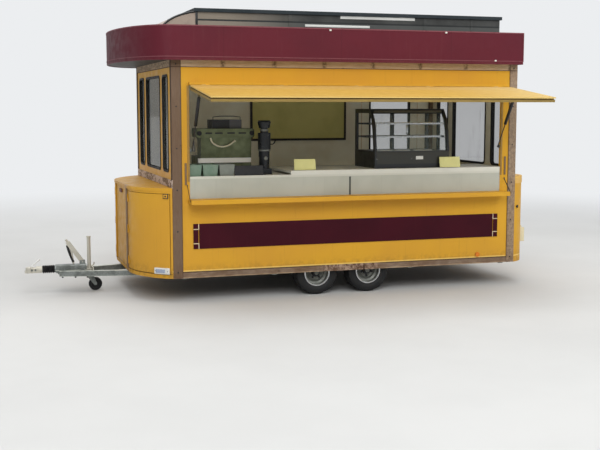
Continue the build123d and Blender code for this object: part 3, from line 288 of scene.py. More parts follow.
def maroonFilm():
    look = {"main": tint(88, 22, 36), "faded": tint(80, 20, 33), "grime": tint(106, 70, 68), "runs": 0.16,
            "specks": 0.0, "splash": (2.38, 2.44), "splashShare": 0.3, "gloss": 0.5, "waves": 0.004,
            "trim": tint(138, 84, 90), "beads": ((2.425, 2.433), (2.718, 2.7305)), "sheets": 1.22,
            "joint": 0.006}
    skin = Finish("maroonFilm")
    rough = paintedBoard(skin, look)
    beads = skin.either(*[skin.band("z", low, high) for low, high in look["beads"]])
    skin.coat(look["trim"], beads, skin.cloud((0.04, 4), 0.25, 0.5, 0.3, 0.6))
    run = skin.sums("FRACT", skin.sums("DIVIDE", skin.axis("x"), look["sheets"]), 0)
    joint = skin.window(run, 0.5 - look["joint"] / 2, 0.5 + look["joint"] / 2, 0.0006)
    skin.coat(shade(look["main"], 0.4), joint, 0.25)
    skin.coat(look["trim"], skin.step("x", place["bodyLength"] - 0.002, place["bodyLength"]), 0.15)
    return skin.done(rough, 0.22)


def signFilm():
    skin = Finish("signFilm")
    skin.base(skin.cloud((0.5, 4), 0.3, 0.7), tint(62, 10, 24), tint(54, 8, 21))
    dust = skin.cloud((0.04, 5, 0.65, (1, 1, 0.08)), 0.58, 0.82, 0, 0.14)
    skin.coat(tint(98, 60, 58), dust)
    skin.bump(skin.noise(0.02, 4), 0.0008, 0.3)
    return skin.done(skin.span(dust, 0, 0.14, 0.5, 0.62), 0.12)


# Bare timber with its grain along each board
def weatheredTimber():
    look = {"pale": tint(164, 142, 120), "dark": tint(106, 84, 66), "grey": tint(136, 122, 108),
            "knotAndShadeDark": tint(58, 40, 30), "stain": tint(92, 64, 40), "deep": 0.75, "light": tint(198, 172, 138),
            "flaked": tint(206, 186, 172), "nails": 0.53, "postWidth": 0.10, "railFoot": (2.329, 2.331),
            "torn": (1.56, 2.18), "joint": (2.02, 2.032), "frontRail": (1.15, 1.23)}
    skin = Finish("weatheredTimber")
    rear = place["bodyLength"]
    ends = skin.either(skin.step("x", look["postWidth"] - 0.001, look["postWidth"] + 0.001, 1, 0),
                       skin.step("x", rear - 0.091, rear - 0.089))
    middle = skin.band("y", -0.989, 0.989)
    upright = skin.times(ends, skin.rest(middle))
    across = skin.times(ends, middle)

    def grain(*values):
        ways = ((0.06, 1, 1), (1, 1, 0.06), (1, 0.06, 1))
        along, vertical, sideways = [skin.noise(*values, way) for way in ways]
        return skin.mix(across, skin.mix(upright, along, vertical), sideways)

    fine = skin.span(grain(0.006, 6, 0.7), 0.3, 0.7)
    skin.base(fine, look["pale"], look["dark"])
    skin.coat(look["grey"], skin.span(grain(0.035, 4, 0.6), 0.35, 0.68), 0.6)
    skin.coat(look["stain"], skin.cloud((0.7, 3), 0.35, 0.65), 0.35)
    skin.coat(look["dark"], upright, skin.step("x", 0.2, 0.21, look["deep"], 0),
              skin.step("y", -0.9, -0.89, 1, 0))
    # Top rails: paler, with a dark stain round each nail
    high = skin.times(skin.step("z", *look["railFoot"]), skin.rest(upright))
    skin.coat(skin.mix(fine, tint(214, 190, 158), tint(184, 158, 126)), high, 0.85)
    run = skin.sums("FRACT", skin.sums("DIVIDE", skin.axis("x"), look["nails"]), 0)
    skin.coat(look["knotAndShadeDark"], high, skin.window(run, 0.44, 0.52, 0.03), skin.band("z", 2.336, 2.40, 0.012),
              skin.cloud((0.03, 3), 0.38, 0.55, 0.15, 0.7))
    mottle = skin.cloud((0.035, 5, 0.7), 0.4, 0.62, 0.02, 0.34)
    skin.coat(look["light"], upright, skin.step("x", 0.2, 0.21), mottle)
    # Painted shadow: dark lines along the edges of the posts, in the gaps beside them
    rims = [skin.band("x", *rim) for rim in ((0.0945, 0.102), (-0.002, 0.004), (rear - 0.092, rear - 0.085))]
    skin.coat(look["knotAndShadeDark"], upright, skin.either(*rims), 0.7)
    skin.coat(look["knotAndShadeDark"], skin.band("z", 2.329, 2.337), 0.85)
    # Sills: shadow at the top, a pale lower edge, a torn stretch and a joint
    sill = skin.times(skin.step("z", 0.3165, 0.315, 0, 1), skin.rest(upright))
    skin.coat(look["knotAndShadeDark"], sill, skin.step("z", 0.303, 0.306, 0, 0.75))
    skin.coat(look["light"], sill, skin.step("z", 0.258, 0.262, 0.5, 0))
    chips = skin.cloud((0.022, 6, 0.75, (1, 1, 0.6)), 0.44, 0.56)
    torn = skin.times(sill, skin.band("x", *look["torn"], 0.06), skin.step("y", 0, 0.01, 1, 0))
    skin.coat(skin.mix(chips, tint(80, 52, 42), tint(188, 162, 142)), torn, 0.7)
    skin.coat(look["knotAndShadeDark"], sill, skin.band("x", *look["joint"]))
    skin.coat(look["knotAndShadeDark"], skin.span(skin.cells(0.17, (0.7, 1, 0.9), "Distance"), 0.05, 0.12, 0.85, 0))
    # Flaked paint on the front rail, and damp low down
    rail = skin.times(skin.step("x", 0.0075, 0.0085, 1, 0), skin.band("z", *look["frontRail"]))
    skin.coat(look["flaked"], rail, skin.cloud((0.05, 6, 0.7, (1, 0.4, 1)), 0.42, 0.56))
    skin.coat(look["stain"], skin.step("z", 0.24, 0.45, 0.5, 0), skin.cloud((0.09, 5), 0.3, 0.65))
    skin.bump(fine, 0.0022, 0.7)
    skin.bump(skin.noise(0.12, 3), 0.004, 0.3)
    return skin.done(skin.span(fine, 0, 1, 0.74, 0.92), 0.3)


def plainTimber(name, pale, dark):
    skin = Finish(name)
    upright = (1, 1, 0.06)
    fine = skin.cloud((0.006, 6, 0.7, upright), 0.3, 0.7)
    skin.base(fine, pale, dark)
    skin.coat(shade(pale, 0.6), skin.cloud((0.04, 3, 0.6, upright), 0.4, 0.65), 0.5)
    skin.bump(fine, 0.0015, 0.6)
    return skin.done(skin.span(fine, 0, 1, 0.7, 0.9), 0.3)


def galvanised():
    skin = Finish("galvanised")
    grey = skin.node("RGBToBW", {0: skin.cells(0.011, (1, 1, 1), "Color")}).outputs[0]
    skin.base(grey, tint(120, 126, 123), tint(146, 150, 147))
    dull = skin.cloud((0.12, 6, 0.65), 0.4, 0.66)
    skin.coat(tint(98, 102, 98), dull, 0.7)
    rust = skin.cloud((0.03, 7, 0.72), 0.66, 0.76, 0, 0.4)
    skin.coat(tint(112, 78, 52), rust)
    # Painted highlight: narrow bands at two heights along the drawbar's upper edges are painted pale
    railTopHighlight = skin.either(skin.band("z", 0.2295, 0.2375), skin.band("z", 0.176, 0.180))
    skin.coat(tint(206, 210, 200), railTopHighlight, skin.span(dull, 0, 1, 0.85, 0.5))
    skin.bump(skin.noise(0.004, 4), 0.0004, 0.4)
    return skin.done(skin.span(dull, 0, 1, 0.42, 0.66), Metallic=skin.span(rust, 0, 0.4, 0.7, 0.1))


def rubber(name, colour, dusty, share=0.45):
    skin = Finish(name)
    dust = skin.cloud((0.05, 6, 0.65), 0.4, 0.7, 0, share)
    skin.base(dust, colour, dusty)
    skin.bump(skin.noise(0.0025, 3), 0.0003, 0.5)
    return skin.done(skin.span(dust, 0, share, 0.55, 0.85), 0.3)


def coated(name, colour, wornAndShadedTone, gloss=0.4, metal=0.0, wear=0.3, size=0.02, texture=0.0004):
    skin = Finish(name)
    tone = skin.mix(skin.cloud((0.3, 3), 0.3, 0.7), colour, shade(colour, 0.86))
    skin.base(skin.cloud((size, 6, 0.7), 0.58, 0.74, 0, wear), tone, wornAndShadedTone)
    skin.bump(skin.noise(0.004, 4), texture, 0.4)
    return skin.done(skin.cloud((0.06, 5), 0.3, 0.7, gloss - 0.06, gloss + 0.14), Metallic=metal)


# Polished metal: fine lines along the stretch, and smears that dull it
def polish(skin, stretch, low, high):
    lines = skin.noise(0.002, 4, 0.6, stretch)
    smear = skin.cloud((0.07, 5, 0.6), 0.35, 0.7)
    skin.bump(lines, 0.0002, 0.3)
    return smear, skin.sums("ADD", skin.span(lines, 0.3, 0.7, low, high), skin.times(smear, 0.14))


def polishedRod():
    skin = Finish("polishedRod")
    colour = tint(196, 198, 200)
    smear, rough = polish(skin, (1, 1, 8), 0.09, 0.22)
    skin.base(skin.times(smear, 0.5), colour, shade(colour, 0.72))
    return skin.done(rough, Metallic=0.9)


def paneGlass(name, colour, alpha, rough, dusty):
    skin = Finish(name)
    film = skin.cloud((0.09, 5, 0.6, (1, 1, 0.3)), 0.5, 0.8)
    skin.base(skin.times(film, dusty * 2), colour, tint(150, 152, 142))
    cover = skin.span(film, 0, 1, alpha, alpha + dusty)
    return skin.done(skin.span(film, 0, 1, rough, rough + dusty), 0.5, Alpha=cover)


def counterFinish():
    look = {"grey": tint(184, 186, 174), "greyLow": tint(174, 176, 164), "white": tint(214, 214, 203),
            "soil": tint(140, 140, 130), "lip": tint(206, 206, 194), "joint": tint(70, 74, 70),
            "jointAt": (1.857, 1.877), "face": -place["wallInner"]}
    skin = Finish("counterLaminate")
    outward = skin.step("y", look["face"] - 0.002, look["face"] + 0.002, 1, 0)
    panel = skin.times(outward, skin.step("z", 1.2515, 1.2535, 1, 0))
    grey = skin.mix(skin.cloud((0.5, 3), 0.35, 0.7), look["grey"], look["greyLow"])
    grey = skin.mix(skin.cloud((0.05, 5, 0.65, (1, 1, 0.06)), 0.55, 0.8, 0, 0.22), grey, look["soil"])
    white = skin.mix(skin.cloud((0.2, 5), 0.45, 0.75, 0, 0.4), look["white"], shade(look["white"], 0.8))
    skin.base(panel, white, grey)
    skin.coat(look["lip"], outward, skin.band("z", 1.236, 1.2605), 0.8)
    skin.coat(look["joint"], panel, skin.band("x", *look["jointAt"]), skin.step("z", 1.228, 1.230, 1, 0))
    skin.bump(skin.noise(0.006, 3), 0.0003, 0.4)
    return skin.done(skin.cloud((0.09, 5), 0.3, 0.7, 0.34, 0.5), 0.35)


def menuFinish():
    low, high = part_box("menu_board")
    rim = 0.026
    skin = Finish("menuFace")
    inside = skin.times(skin.window(skin.axis("x"), low.x + rim, high.x - rim),
                        skin.window(skin.axis("z"), low.z + rim, high.z - rim))
    paper = skin.mix(skin.cloud((0.3, 4), 0.35, 0.7), tint(216, 205, 129), tint(202, 192, 118))
    edging = skin.mix(skin.noise(0.01, 4, stretch=(0.05, 1, 1)), tint(30, 20, 14), tint(44, 32, 22))
    skin.base(inside, edging, paper)
    skin.bump(skin.noise(0.01, 3), 0.0004, 0.3)
    return skin.done(skin.span(inside, 0, 1, 0.45, 0.62), 0.3)


def roofSheet():
    colour = tint(90, 94, 96)
    skin = Finish("roofSheet")
    patches = skin.cloud((0.4, 6, 0.6), 0.35, 0.7)
    skin.base(patches, colour, shade(colour, 0.6))
    skin.coat(tint(70, 76, 54), skin.cloud((0.07, 7, 0.7), 0.55, 0.72, 0, 0.4))
    skin.bump(skin.noise(0.01, 6, 0.7), 0.0015, 0.5)
    return skin.done(skin.span(patches, 0, 1, 0.62, 0.85), 0.25)


# Soffit board: dark outside, a white ceiling inside the cabin
def soffitBoard():
    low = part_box("soffit")[0].z
    skin = Finish("soffitBoard")
    wear = skin.cloud((0.12, 6, 0.6), 0.45, 0.75, 0, 0.4)
    inside = skin.times(cabin(skin, 0.012, 0), skin.span(skin.axis("z"), low + 0.001, low + 0.002, 1, 0))
    skin.base(wear, tint(56, 50, 46), tint(86, 76, 66))
    skin.coat(skin.mix(wear, tint(240, 238, 226), tint(224, 220, 204)), inside)
    skin.bump(skin.noise(0.01, 4), 0.0006, 0.3)
    return skin.done(skin.span(wear, 0, 0.4, 0.55, 0.7), 0.25)


# Raised roof: dark slab on top, a grey band, a shadow line, and a beige curved end
def lanternPaint():
    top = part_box("roof_lantern")[1].z
    look = {"slab": tint(34, 42, 46), "band": tint(66, 67, 65), "gap": tint(40, 42, 42),
            "foot": tint(74, 76, 74), "toe": tint(158, 142, 128), "slabUnder": top - 0.036,
            "gapEnds": (top - 0.122, top - 0.105)}
    skin = Finish("lanternPaint")
    patches = skin.cloud((0.3, 6, 0.6), 0.35, 0.7)
    skin.base(patches, look["band"], shade(look["band"], 0.7))
    height = skin.axis("z")
    skin.coat(look["foot"], skin.span(height, look["gapEnds"][0] - 0.001, look["gapEnds"][0] + 0.001, 1, 0))
    gap = skin.window(height, *look["gapEnds"])
    skin.coat(look["gap"], gap)
    skin.coat(tint(150, 138, 122), skin.step("x", 0.45, 1.55, 0.75, 0), skin.rest(gap))
    runs = skin.cloud((0.03, 5, 0.6, (0.3, 1, 0.3)), 0.45, 0.75, 0, 0.5)
    skin.coat(skin.mix(runs, look["toe"], shade(look["toe"], 0.55)), skin.step("x", 0.335, 0.345, 1, 0))
    skin.coat(look["slab"], skin.span(height, look["slabUnder"] - 0.001, look["slabUnder"] + 0.001))
    skin.bump(skin.noise(0.02, 5, 0.7), 0.0015, 0.4)
    return skin.done(skin.span(patches, 0, 1, 0.55, 0.8), 0.3)


def lensWaves(skin, way):
    waves = skin.node("TexWave", {"Scale": 90, "Vector": skin.coord}, bands_direction=way)
    skin.bump(waves.outputs["Fac"], 0.0008, 0.5)


def lensFinish(name, colour):
    skin = Finish(name)
    skin.base(skin.cloud((0.02, 5), 0.5, 0.75, 0, 0.4), colour, shade(colour, 0.4))
    lensWaves(skin, "Z")
    return skin.done(0.22, Coat_Weight=0.4)


# Rear lamps in three bands, amber side and dark front markers
def lampStack():
    skin = Finish("lampStack")
    stack = skin.mix(skin.band("z", 0.565, 0.63), tint(170, 22, 18), tint(222, 118, 20))
    stack = skin.mix(skin.band("z", 0.47, 0.515), stack, tint(214, 210, 200))
    skin.base(skin.step("x", -0.1, -0.09, 1, 0), tint(216, 120, 24), tint(92, 36, 24))
    skin.coat(stack, skin.step("x", 3.9, 3.91))
    skin.coat(tint(80, 66, 52), skin.cloud((0.02, 5), 0.5, 0.75, 0, 0.4))
    lensWaves(skin, "Y")
    return skin.done(skin.step("x", -0.1, -0.09, 0.7, 0.22), 0.3, Coat_Weight=0.1)


# Plastic tubs: two green-grey and one grey
def tubPlastic():
    skin = Finish("tubPlastic")
    skin.base(skin.step("x", 0.484, 0.486), tint(106, 130, 112), tint(122, 126, 118))
    haze = skin.cloud((0.05, 5), 0.4, 0.7, 0, 0.4)
    skin.coat(tint(140, 152, 138), haze)
    skin.bump(skin.noise(0.006, 3), 0.0004, 0.3)
    return skin.done(skin.span(haze, 0, 0.4, 0.4, 0.55))


# Espresso machine: dull olive metal, white tray rail, black warmer on top
def machineFinish():
    metal = tint(104, 110, 82)
    skin = Finish("machinePaint")
    smear, rough = polish(skin, (0.03, 1, 1), 0.28, 0.4)
    skin.base(skin.times(smear, 0.5), metal, shade(metal, 0.6))
    rail = skin.times(skin.band("z", 1.3725, 1.4205), skin.step("y", -0.6065, -0.6055, 1, 0))
    skin.coat(tint(250, 248, 240), rail)
    top = skin.step("z", 1.7222, 1.7238)
    skin.coat(skin.mix(skin.step("x", 0.699, 0.701), tint(24, 25, 27), tint(74, 74, 76)), top)
    return skin.done(rough, 0.4, Metallic=skin.span(skin.either(rail, top), 0, 1, 0.75, 0))


# Display case: black frame, a dark grey front to its base, a grey band at its top
def caseFinish():
    skin = Finish("casePaint")
    front = skin.times(skin.step("y", -0.9495, -0.9485, 1, 0), skin.band("z", 1.345, 1.472),
                       skin.step("x", 2.2, 2.204))
    board = skin.mix(skin.noise(0.01, 3, stretch=(0.05, 1, 1)), tint(50, 49, 40), tint(40, 41, 35))
    skin.base(front, tint(24, 27, 30), board)
    skin.coat(tint(88, 85, 72), skin.band("z", 1.884, 1.908), skin.band("x", 2.22, 3.0))
    skin.bump(skin.noise(0.003, 3), 0.0002, 0.3)
    return skin.done(skin.span(skin.cloud((0.06, 5), 0.4, 0.7), 0, 1, 0.28, 0.45))


materials = {
    "yellow": yellowPaint(),
    "awning": awningPaint(),
    "maroon": maroonFilm(),
    "sign": signFilm(),
    "timber": weatheredTimber(),
    "stripTimber": plainTimber("stripTimber", tint(150, 126, 100), tint(104, 80, 58)),
    "jambTimber": plainTimber("jambTimber", tint(176, 140, 74), tint(138, 106, 58)),
    "galvanised": galvanised(),
    "tyre": rubber("tyreRubber", tint(22, 23, 25), tint(62, 60, 56), 0.3),
    "seal": rubber("sealRubber", tint(22, 22, 24), tint(62, 60, 58), 0.3),
    "soffit": soffitBoard(),
    "roof": roofSheet(),
    "lantern": lanternPaint(),
    "lens": lampStack(),
    "clearLens": lensFinish("clearLens", tint(150, 160, 182)),
    "redLens": lensFinish("redLens", tint(160, 24, 20)),
    "chrome": polishedRod(),
    "counter": counterFinish(),
    "menu": menuFinish(),
    "machine": machineFinish(),
    "casePaint": caseFinish(),
    "tub": tubPlastic(),
    "glass": paneGlass("windowGlass", tint(40, 46, 44), 0.34, 0.04, 0.06),
    "caseGlass": paneGlass("caseGlass", tint(130, 146, 140), 0.1, 0.03, 0.05),
}

# Coated parts: colour, where it is worn, then gloss, metal, wear, patch size and texture
coatings = {
    "blackSteel": ((34, 34, 36), (92, 84, 76), 0.45),
    "wheelSteel": ((122, 124, 117), (96, 88, 76), 0.36, 0.3, 0.35, 0.012),
    "whiteMetal": ((226, 226, 222), (150, 140, 126), 0.38),
    "floorBoard": ((96, 72, 54), (66, 50, 40), 0.6, 0, 0.5, 0.05, 0.001),
    "strutBlack": ((9, 9, 11), (26, 25, 24), 0.35, 0, 0.2),
    "darkSteel": ((58, 56, 54), (96, 70, 52), 0.5, 0.5, 0.4),
    "grinderBlack": ((20, 24, 28), (70, 74, 78), 0.3, 0.2, 0.2),
    "cardYellow": ((226, 222, 150), (200, 194, 130), 0.55, 0, 0.2, 0.05),
    "boardBlack": ((26, 27, 30), (56, 56, 58), 0.5, 0, 0.3, 0.03),
    "plateWhite": ((220, 220, 214), (170, 168, 158), 0.35, 0, 0.2, 0.04),
    "inlayCream": ((226, 206, 168), (190, 168, 126), 0.5, 0, 0.2, 0.03),
    "creamPlastic": ((226, 214, 176), (190, 176, 140), 0.4, 0, 0.2, 0.03),
    "paleSteel": ((196, 192, 178), (128, 124, 112), 0.42, 0.3, 0.45, 0.03),
    "hosePale": ((246, 238, 208), (210, 200, 170), 0.45, 0, 0.2, 0.02),
}
for coatName, (mainLevels, wornLevels, *coatValues) in coatings.items():
    materials[coatName] = coated(coatName, tint(*mainLevels), tint(*wornLevels), *coatValues)

wheelNames = ("near_front", "near_rear", "far_front", "far_rear")

# Every carried-over node's finish
nodeFinish = {
    "paleSteel": ("coupling_head", "jockey_leg", "handbrake_lever"),
    "galvanised": ("chassis", "axles", "overrun_housing", "jockey_fork", "hatch_brackets"),
    "whiteMetal": ("coupling_handle",),
    "seal": ("drawshaft_bellows", "jockey_wheel"),
    "tyre": ["tyre_" + wheel for wheel in wheelNames],
    "wheelSteel": ["rim_" + wheel for wheel in wheelNames],
    "floorBoard": ("floor",),
    "timber": ("timber_frame",),
    "yellow": ("hatch_wall", "front_wall", "rear_wall", "far_wall", "front_locker", "rear_locker",
               "locker_door_near", "locker_door_far", "serving_shelf", "entrance_door"),
    "awning": ("awning",),
    "glass": ("front_glass", "rear_glass", "door_glass"),
    "maroon": ("fascia",),
    "soffit": ("soffit",),
    "roof": ("roof_deck",),
    "lantern": ("roof_lantern",),
    "sign": ("sign_board",),
    "lens": ("lamps",),
    "strutBlack": ("strut_tube_front", "strut_tube_rear"),
    "darkSteel": ("strut_rod_front", "strut_rod_rear", "shelf_stays"),
    "counter": ("counter", "back_counter"),
    "menu": ("menu_board",),
    "machine": ("espresso_machine",),
    "casePaint": ("display_case",),
    "grinderBlack": ("coffee_grinder",),
    "caseGlass": ("display_glass",),
    "tub": ("storage_boxes",),
}
for finishName, nodeNames in nodeFinish.items():
    for nodeName in nodeNames:
        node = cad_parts[nodeName]
        node.data.materials.clear()
        node.data.materials.append(materials[finishName])
print("finishes made")


# Modelling helpers: a piece starts from one primitive and is worked on in edit mode
def pick(piece):
    bpy.ops.object.select_all(action="DESELECT")
    piece.select_set(True)
    bpy.context.view_layer.objects.active = piece


def choose(piece, test):
    bpy.ops.mesh.select_mode(type="FACE")
    bpy.ops.mesh.select_all(action="DESELECT")
    bpy.ops.object.mode_set(mode="OBJECT")
    for face in piece.data.polygons:
        face.select = test(face.center)
    bpy.ops.object.mode_set(mode="EDIT")


def soften(amount, segments=2):
    bpy.ops.mesh.select_mode(type="EDGE")
    bpy.ops.mesh.select_all(action="SELECT")
    bpy.ops.mesh.bevel(offset=amount, segments=segments, affect="EDGES", clamp_overlap=True)


def pullOut(shift):
    bpy.ops.mesh.extrude_region_move(TRANSFORM_OT_translate={"value": shift})


def outside():
    bpy.ops.mesh.select_all(action="SELECT")
    bpy.ops.mesh.normals_make_consistent(inside=False)


# Gives a piece its name, finish and body
def settle(piece, name, finish, body="trailer", smooth=40):
    if bpy.context.mode != "OBJECT":
        outside()
        bpy.ops.object.mode_set(mode="OBJECT")
    pick(piece)
    bpy.ops.object.transform_apply(location=True, rotation=True, scale=True)
    piece.name = piece.data.name = name
    piece.data.materials.clear()
    piece.data.materials.append(materials[finish])
    bpy.ops.object.shade_smooth_by_angle(angle=math.radians(smooth))
    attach(piece, body)
    return piece


# One vertex, drawn on from point to point; closed makes a ring of edges
def drawn(points, closed=False):
    bpy.ops.object.select_all(action="DESELECT")
    bpy.ops.mesh.primitive_plane_add(size=0.01)
    piece = bpy.context.active_object
    bpy.ops.object.mode_set(mode="EDIT")
    bpy.ops.mesh.select_mode(type="VERT")
    bpy.ops.mesh.select_all(action="SELECT")
    bpy.ops.mesh.merge(type="CENTER")
    points = [Vector(point) for point in points]
    bpy.ops.transform.translate(value=points[0])
    for last, point in zip(points, points[1:] + (points[:1] if closed else [])):
        pullOut(point - last)
    bpy.ops.mesh.select_all(action="SELECT")
    if closed:
        bpy.ops.mesh.remove_doubles(threshold=0.00005)
    return piece


# A round piece: its outline as (along, radius), spun about an axis through a centre
def turned(profile, steps, along, centre, out=(0, 0, 1), closed=False):
    centre, along, out = Vector(centre), Vector(along).normalized(), Vector(out)
    piece = drawn([centre + along * step + out * radius for step, radius in profile], closed)
    bpy.ops.mesh.spin(steps=steps, angle=2 * math.pi, center=centre, axis=along)
    bpy.ops.mesh.select_all(action="SELECT")
    bpy.ops.mesh.remove_doubles(threshold=0.00005)
    outside()
    return piece


def spun(name, finish, profile, steps, along, centre, out=(0, 0, 1), closed=False, body="trailer"):
    return settle(turned(profile, steps, along, centre, out, closed), name, finish, body)


# A flat outline drawn out by a thickness, its edges rounded
def sheet(points, thickness, bevel=0.001, segments=2):
    points = [Vector(point) for point in points]
    corners = zip(points, points[1:] + points[:1])
    normal = sum((first.cross(second) for first, second in corners), Vector()).normalized()
    piece = drawn(points, True)
    bpy.ops.mesh.edge_face_add()
    pullOut(normal * thickness)
    outside()
    if bevel:
        soften(bevel, segments)
    return piece


def block(low, high, bevel=0.0015, segments=2):
    low, high = spot(*low), spot(*high)
    corners = ((low.x, low.y), (high.x, low.y), (high.x, high.y), (low.x, high.y))
    return sheet([(x, y, low.z) for x, y in corners], high.z - low.z, bevel, segments)


def boxed(name, finish, *shape, body="trailer"):
    return settle(block(*shape), name, finish, body)


# A plate lying on a surface: middle, size, rounding, rim and its depth, and the way it lies
def plaque(middle, size, bevel=0.001, rim=0.0, sunk=0.0, right=(1, 0, 0), upward=(0, 0, 1)):
    middle, right, upward = Vector(middle), Vector(right).normalized(), Vector(upward).normalized()
    outward = right.cross(upward)
    corners = ((-1, -1), (1, -1), (1, 1), (-1, 1))
    outline = [middle + right * size[0] / 2 * aside + upward * size[1] / 2 * rise for aside, rise in corners]
    piece = sheet(outline, size[2], 0)
    if rim:
        choose(piece, lambda centre: (centre - middle).dot(outward) > size[2] * 0.9)
        bpy.ops.mesh.inset(thickness=rim)
        bpy.ops.transform.translate(value=outward * -sunk)
    soften(bevel)
    return piece


# A pipe along points: a drawn line, rounded into a curve and back into a mesh
def pipe(name, finish, points, radius, sides=10, smoothing=2, body="trailer"):
    points = [Vector(point) for point in points]
    for turn in range(smoothing):
        cut = [points[0]]
        for first, second in zip(points, points[1:]):
            cut += [first.lerp(second, 0.25), first.lerp(second, 0.75)]
        points = cut + [points[-1]]
    piece = drawn(points)
    bpy.ops.object.mode_set(mode="OBJECT")
    bpy.ops.object.convert(target="CURVE")
    piece = bpy.context.active_object
    piece.data.bevel_depth = radius
    piece.data.bevel_resolution = sides // 2 - 2
    piece.data.use_fill_caps = True
    bpy.ops.object.convert(target="MESH")
    piece = bpy.context.active_object
    bpy.ops.object.mode_set(mode="EDIT")
    bpy.ops.mesh.select_all(action="SELECT")
    return settle(piece, name, finish, body)


def joined(pieces):
    pick(pieces[0])
    for piece in pieces[1:]:
        piece.select_set(True)
    if len(pieces) > 1:
        bpy.ops.object.join()
    return pieces[0]


def copied(piece, shift, mirror=False):
    pick(piece)
    bpy.ops.object.duplicate(linked=False)
    copy = bpy.context.active_object
    bpy.ops.object.mode_set(mode="EDIT")
    bpy.ops.mesh.select_all(action="SELECT")
    if mirror:
        bpy.ops.transform.mirror(constraint_axis=(False, True, False), center_override=(0, 0, 0))
        bpy.ops.mesh.flip_normals()
    bpy.ops.transform.translate(value=shift)
    bpy.ops.object.mode_set(mode="OBJECT")
    return copy


# A mirrored copy for the far side, riding its own body
def mirroredCopy(piece, name, body="trailer"):
    copy = copied(piece, (0, 0, 0), mirror=True)
    copy.name = copy.data.name = name
    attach(copy, body)
    return copy


def spread(start, end, count):
    start, end = spot(*start), spot(*end)
    return [start.lerp(end, number / max(1, count - 1)) for number in range(count)]


# Screw heads: one is modelled, and copied to each spot, all joined
def screws(name, spots, outward, radius=0.005, finish="chrome", body="trailer", sides=16, rise=0.45):
    outward = Vector(outward).normalized()
    aside = Vector((0, 0, 1)) if abs(outward.z) < 0.7 else Vector((1, 0, 0))
    aside = (aside - outward * aside.dot(outward)).normalized()
    high = radius * rise
    if sides == 6:
        profile = ((-0.0006, radius * 1.5), (0.0012, radius * 1.5), (0.0012, radius * 1.02), (high, radius),
                   (high * 1.12, radius * 0.86), (high * 1.12, 0))
    else:
        profile = ((-0.0006, radius), (high * 0.4, radius * 0.97), (high * 0.8, radius * 0.72),
                   (high, radius * 0.4), (high * 0.45, radius * 0.3), (high * 0.45, 0))
    first = turned(profile, sides, outward, (0, 0, 0), aside)
    bpy.ops.object.mode_set(mode="OBJECT")
    copies = [copied(first, where) for where in spots]
    bpy.data.objects.remove(first)
    return settle(joined(copies), name, finish, body, 35)


# Tyres with a blocked tread, in place of the plain solids
def tyres():
    size = {"half": 0.0975, "radius": 0.225, "bead": 0.128, "steps": 120, "cut": 0.005,
            "grooves": (-0.052, -0.018, 0.018, 0.052), "grooveHalf": 0.0035, "grooveDepth": 0.007}
    half, radius = size["half"], size["radius"]
    wall = [(0.070, size["bead"]), (0.086, 0.140), (0.0945, 0.158), (half, 0.178), (0.0955, 0.196),
            (0.0905, 0.207), (0.0885, 0.2075), (0.086, 0.2165), (0.078, 0.2225), (0.069, radius - 0.0006)]
    tread = []
    for line in reversed(size["grooves"]):
        for step, depth in ((1, 0), (0.7, 1), (-0.7, 1), (-1, 0)):
            tread.append((line + step * size["grooveHalf"], radius - 0.0003 - depth * size["grooveDepth"]))
    farWall = [(-along, height) for along, height in reversed(wall)]
    profile = wall + tread + farWall + [(-0.06, 0.135), (0.06, 0.135)]
    piece = turned(profile, size["steps"], (0, 1, 0), (0, 0, 0), closed=True)

    def isBlock(centre):
        reach = math.hypot(centre.x, centre.z)
        turn = math.degrees(math.atan2(centre.z, centre.x)) / (360 / size["steps"])
        part = math.floor(turn)
        side = abs(centre.y)
        if side > 0.0555 and reach > 0.212:
            return part % 4 == 0
        return 0.0215 < side < 0.0485 and reach > 0.222 and (part + 2) % 6 == 0

    choose(piece, isBlock)
    bpy.ops.mesh.extrude_region_shrink_fatten(TRANSFORM_OT_shrink_fatten={"value": -size["cut"]})
    bpy.ops.object.mode_set(mode="OBJECT")
    for wheel in wheelNames:
        low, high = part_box("tyre_" + wheel)
        copy = copied(piece, (low + high) / 2)
        settle(copy, "treadedTyre_" + wheel, "tyre", "wheel_" + wheel, 38)
        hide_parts("tyre_" + wheel)
    bpy.data.objects.remove(piece)


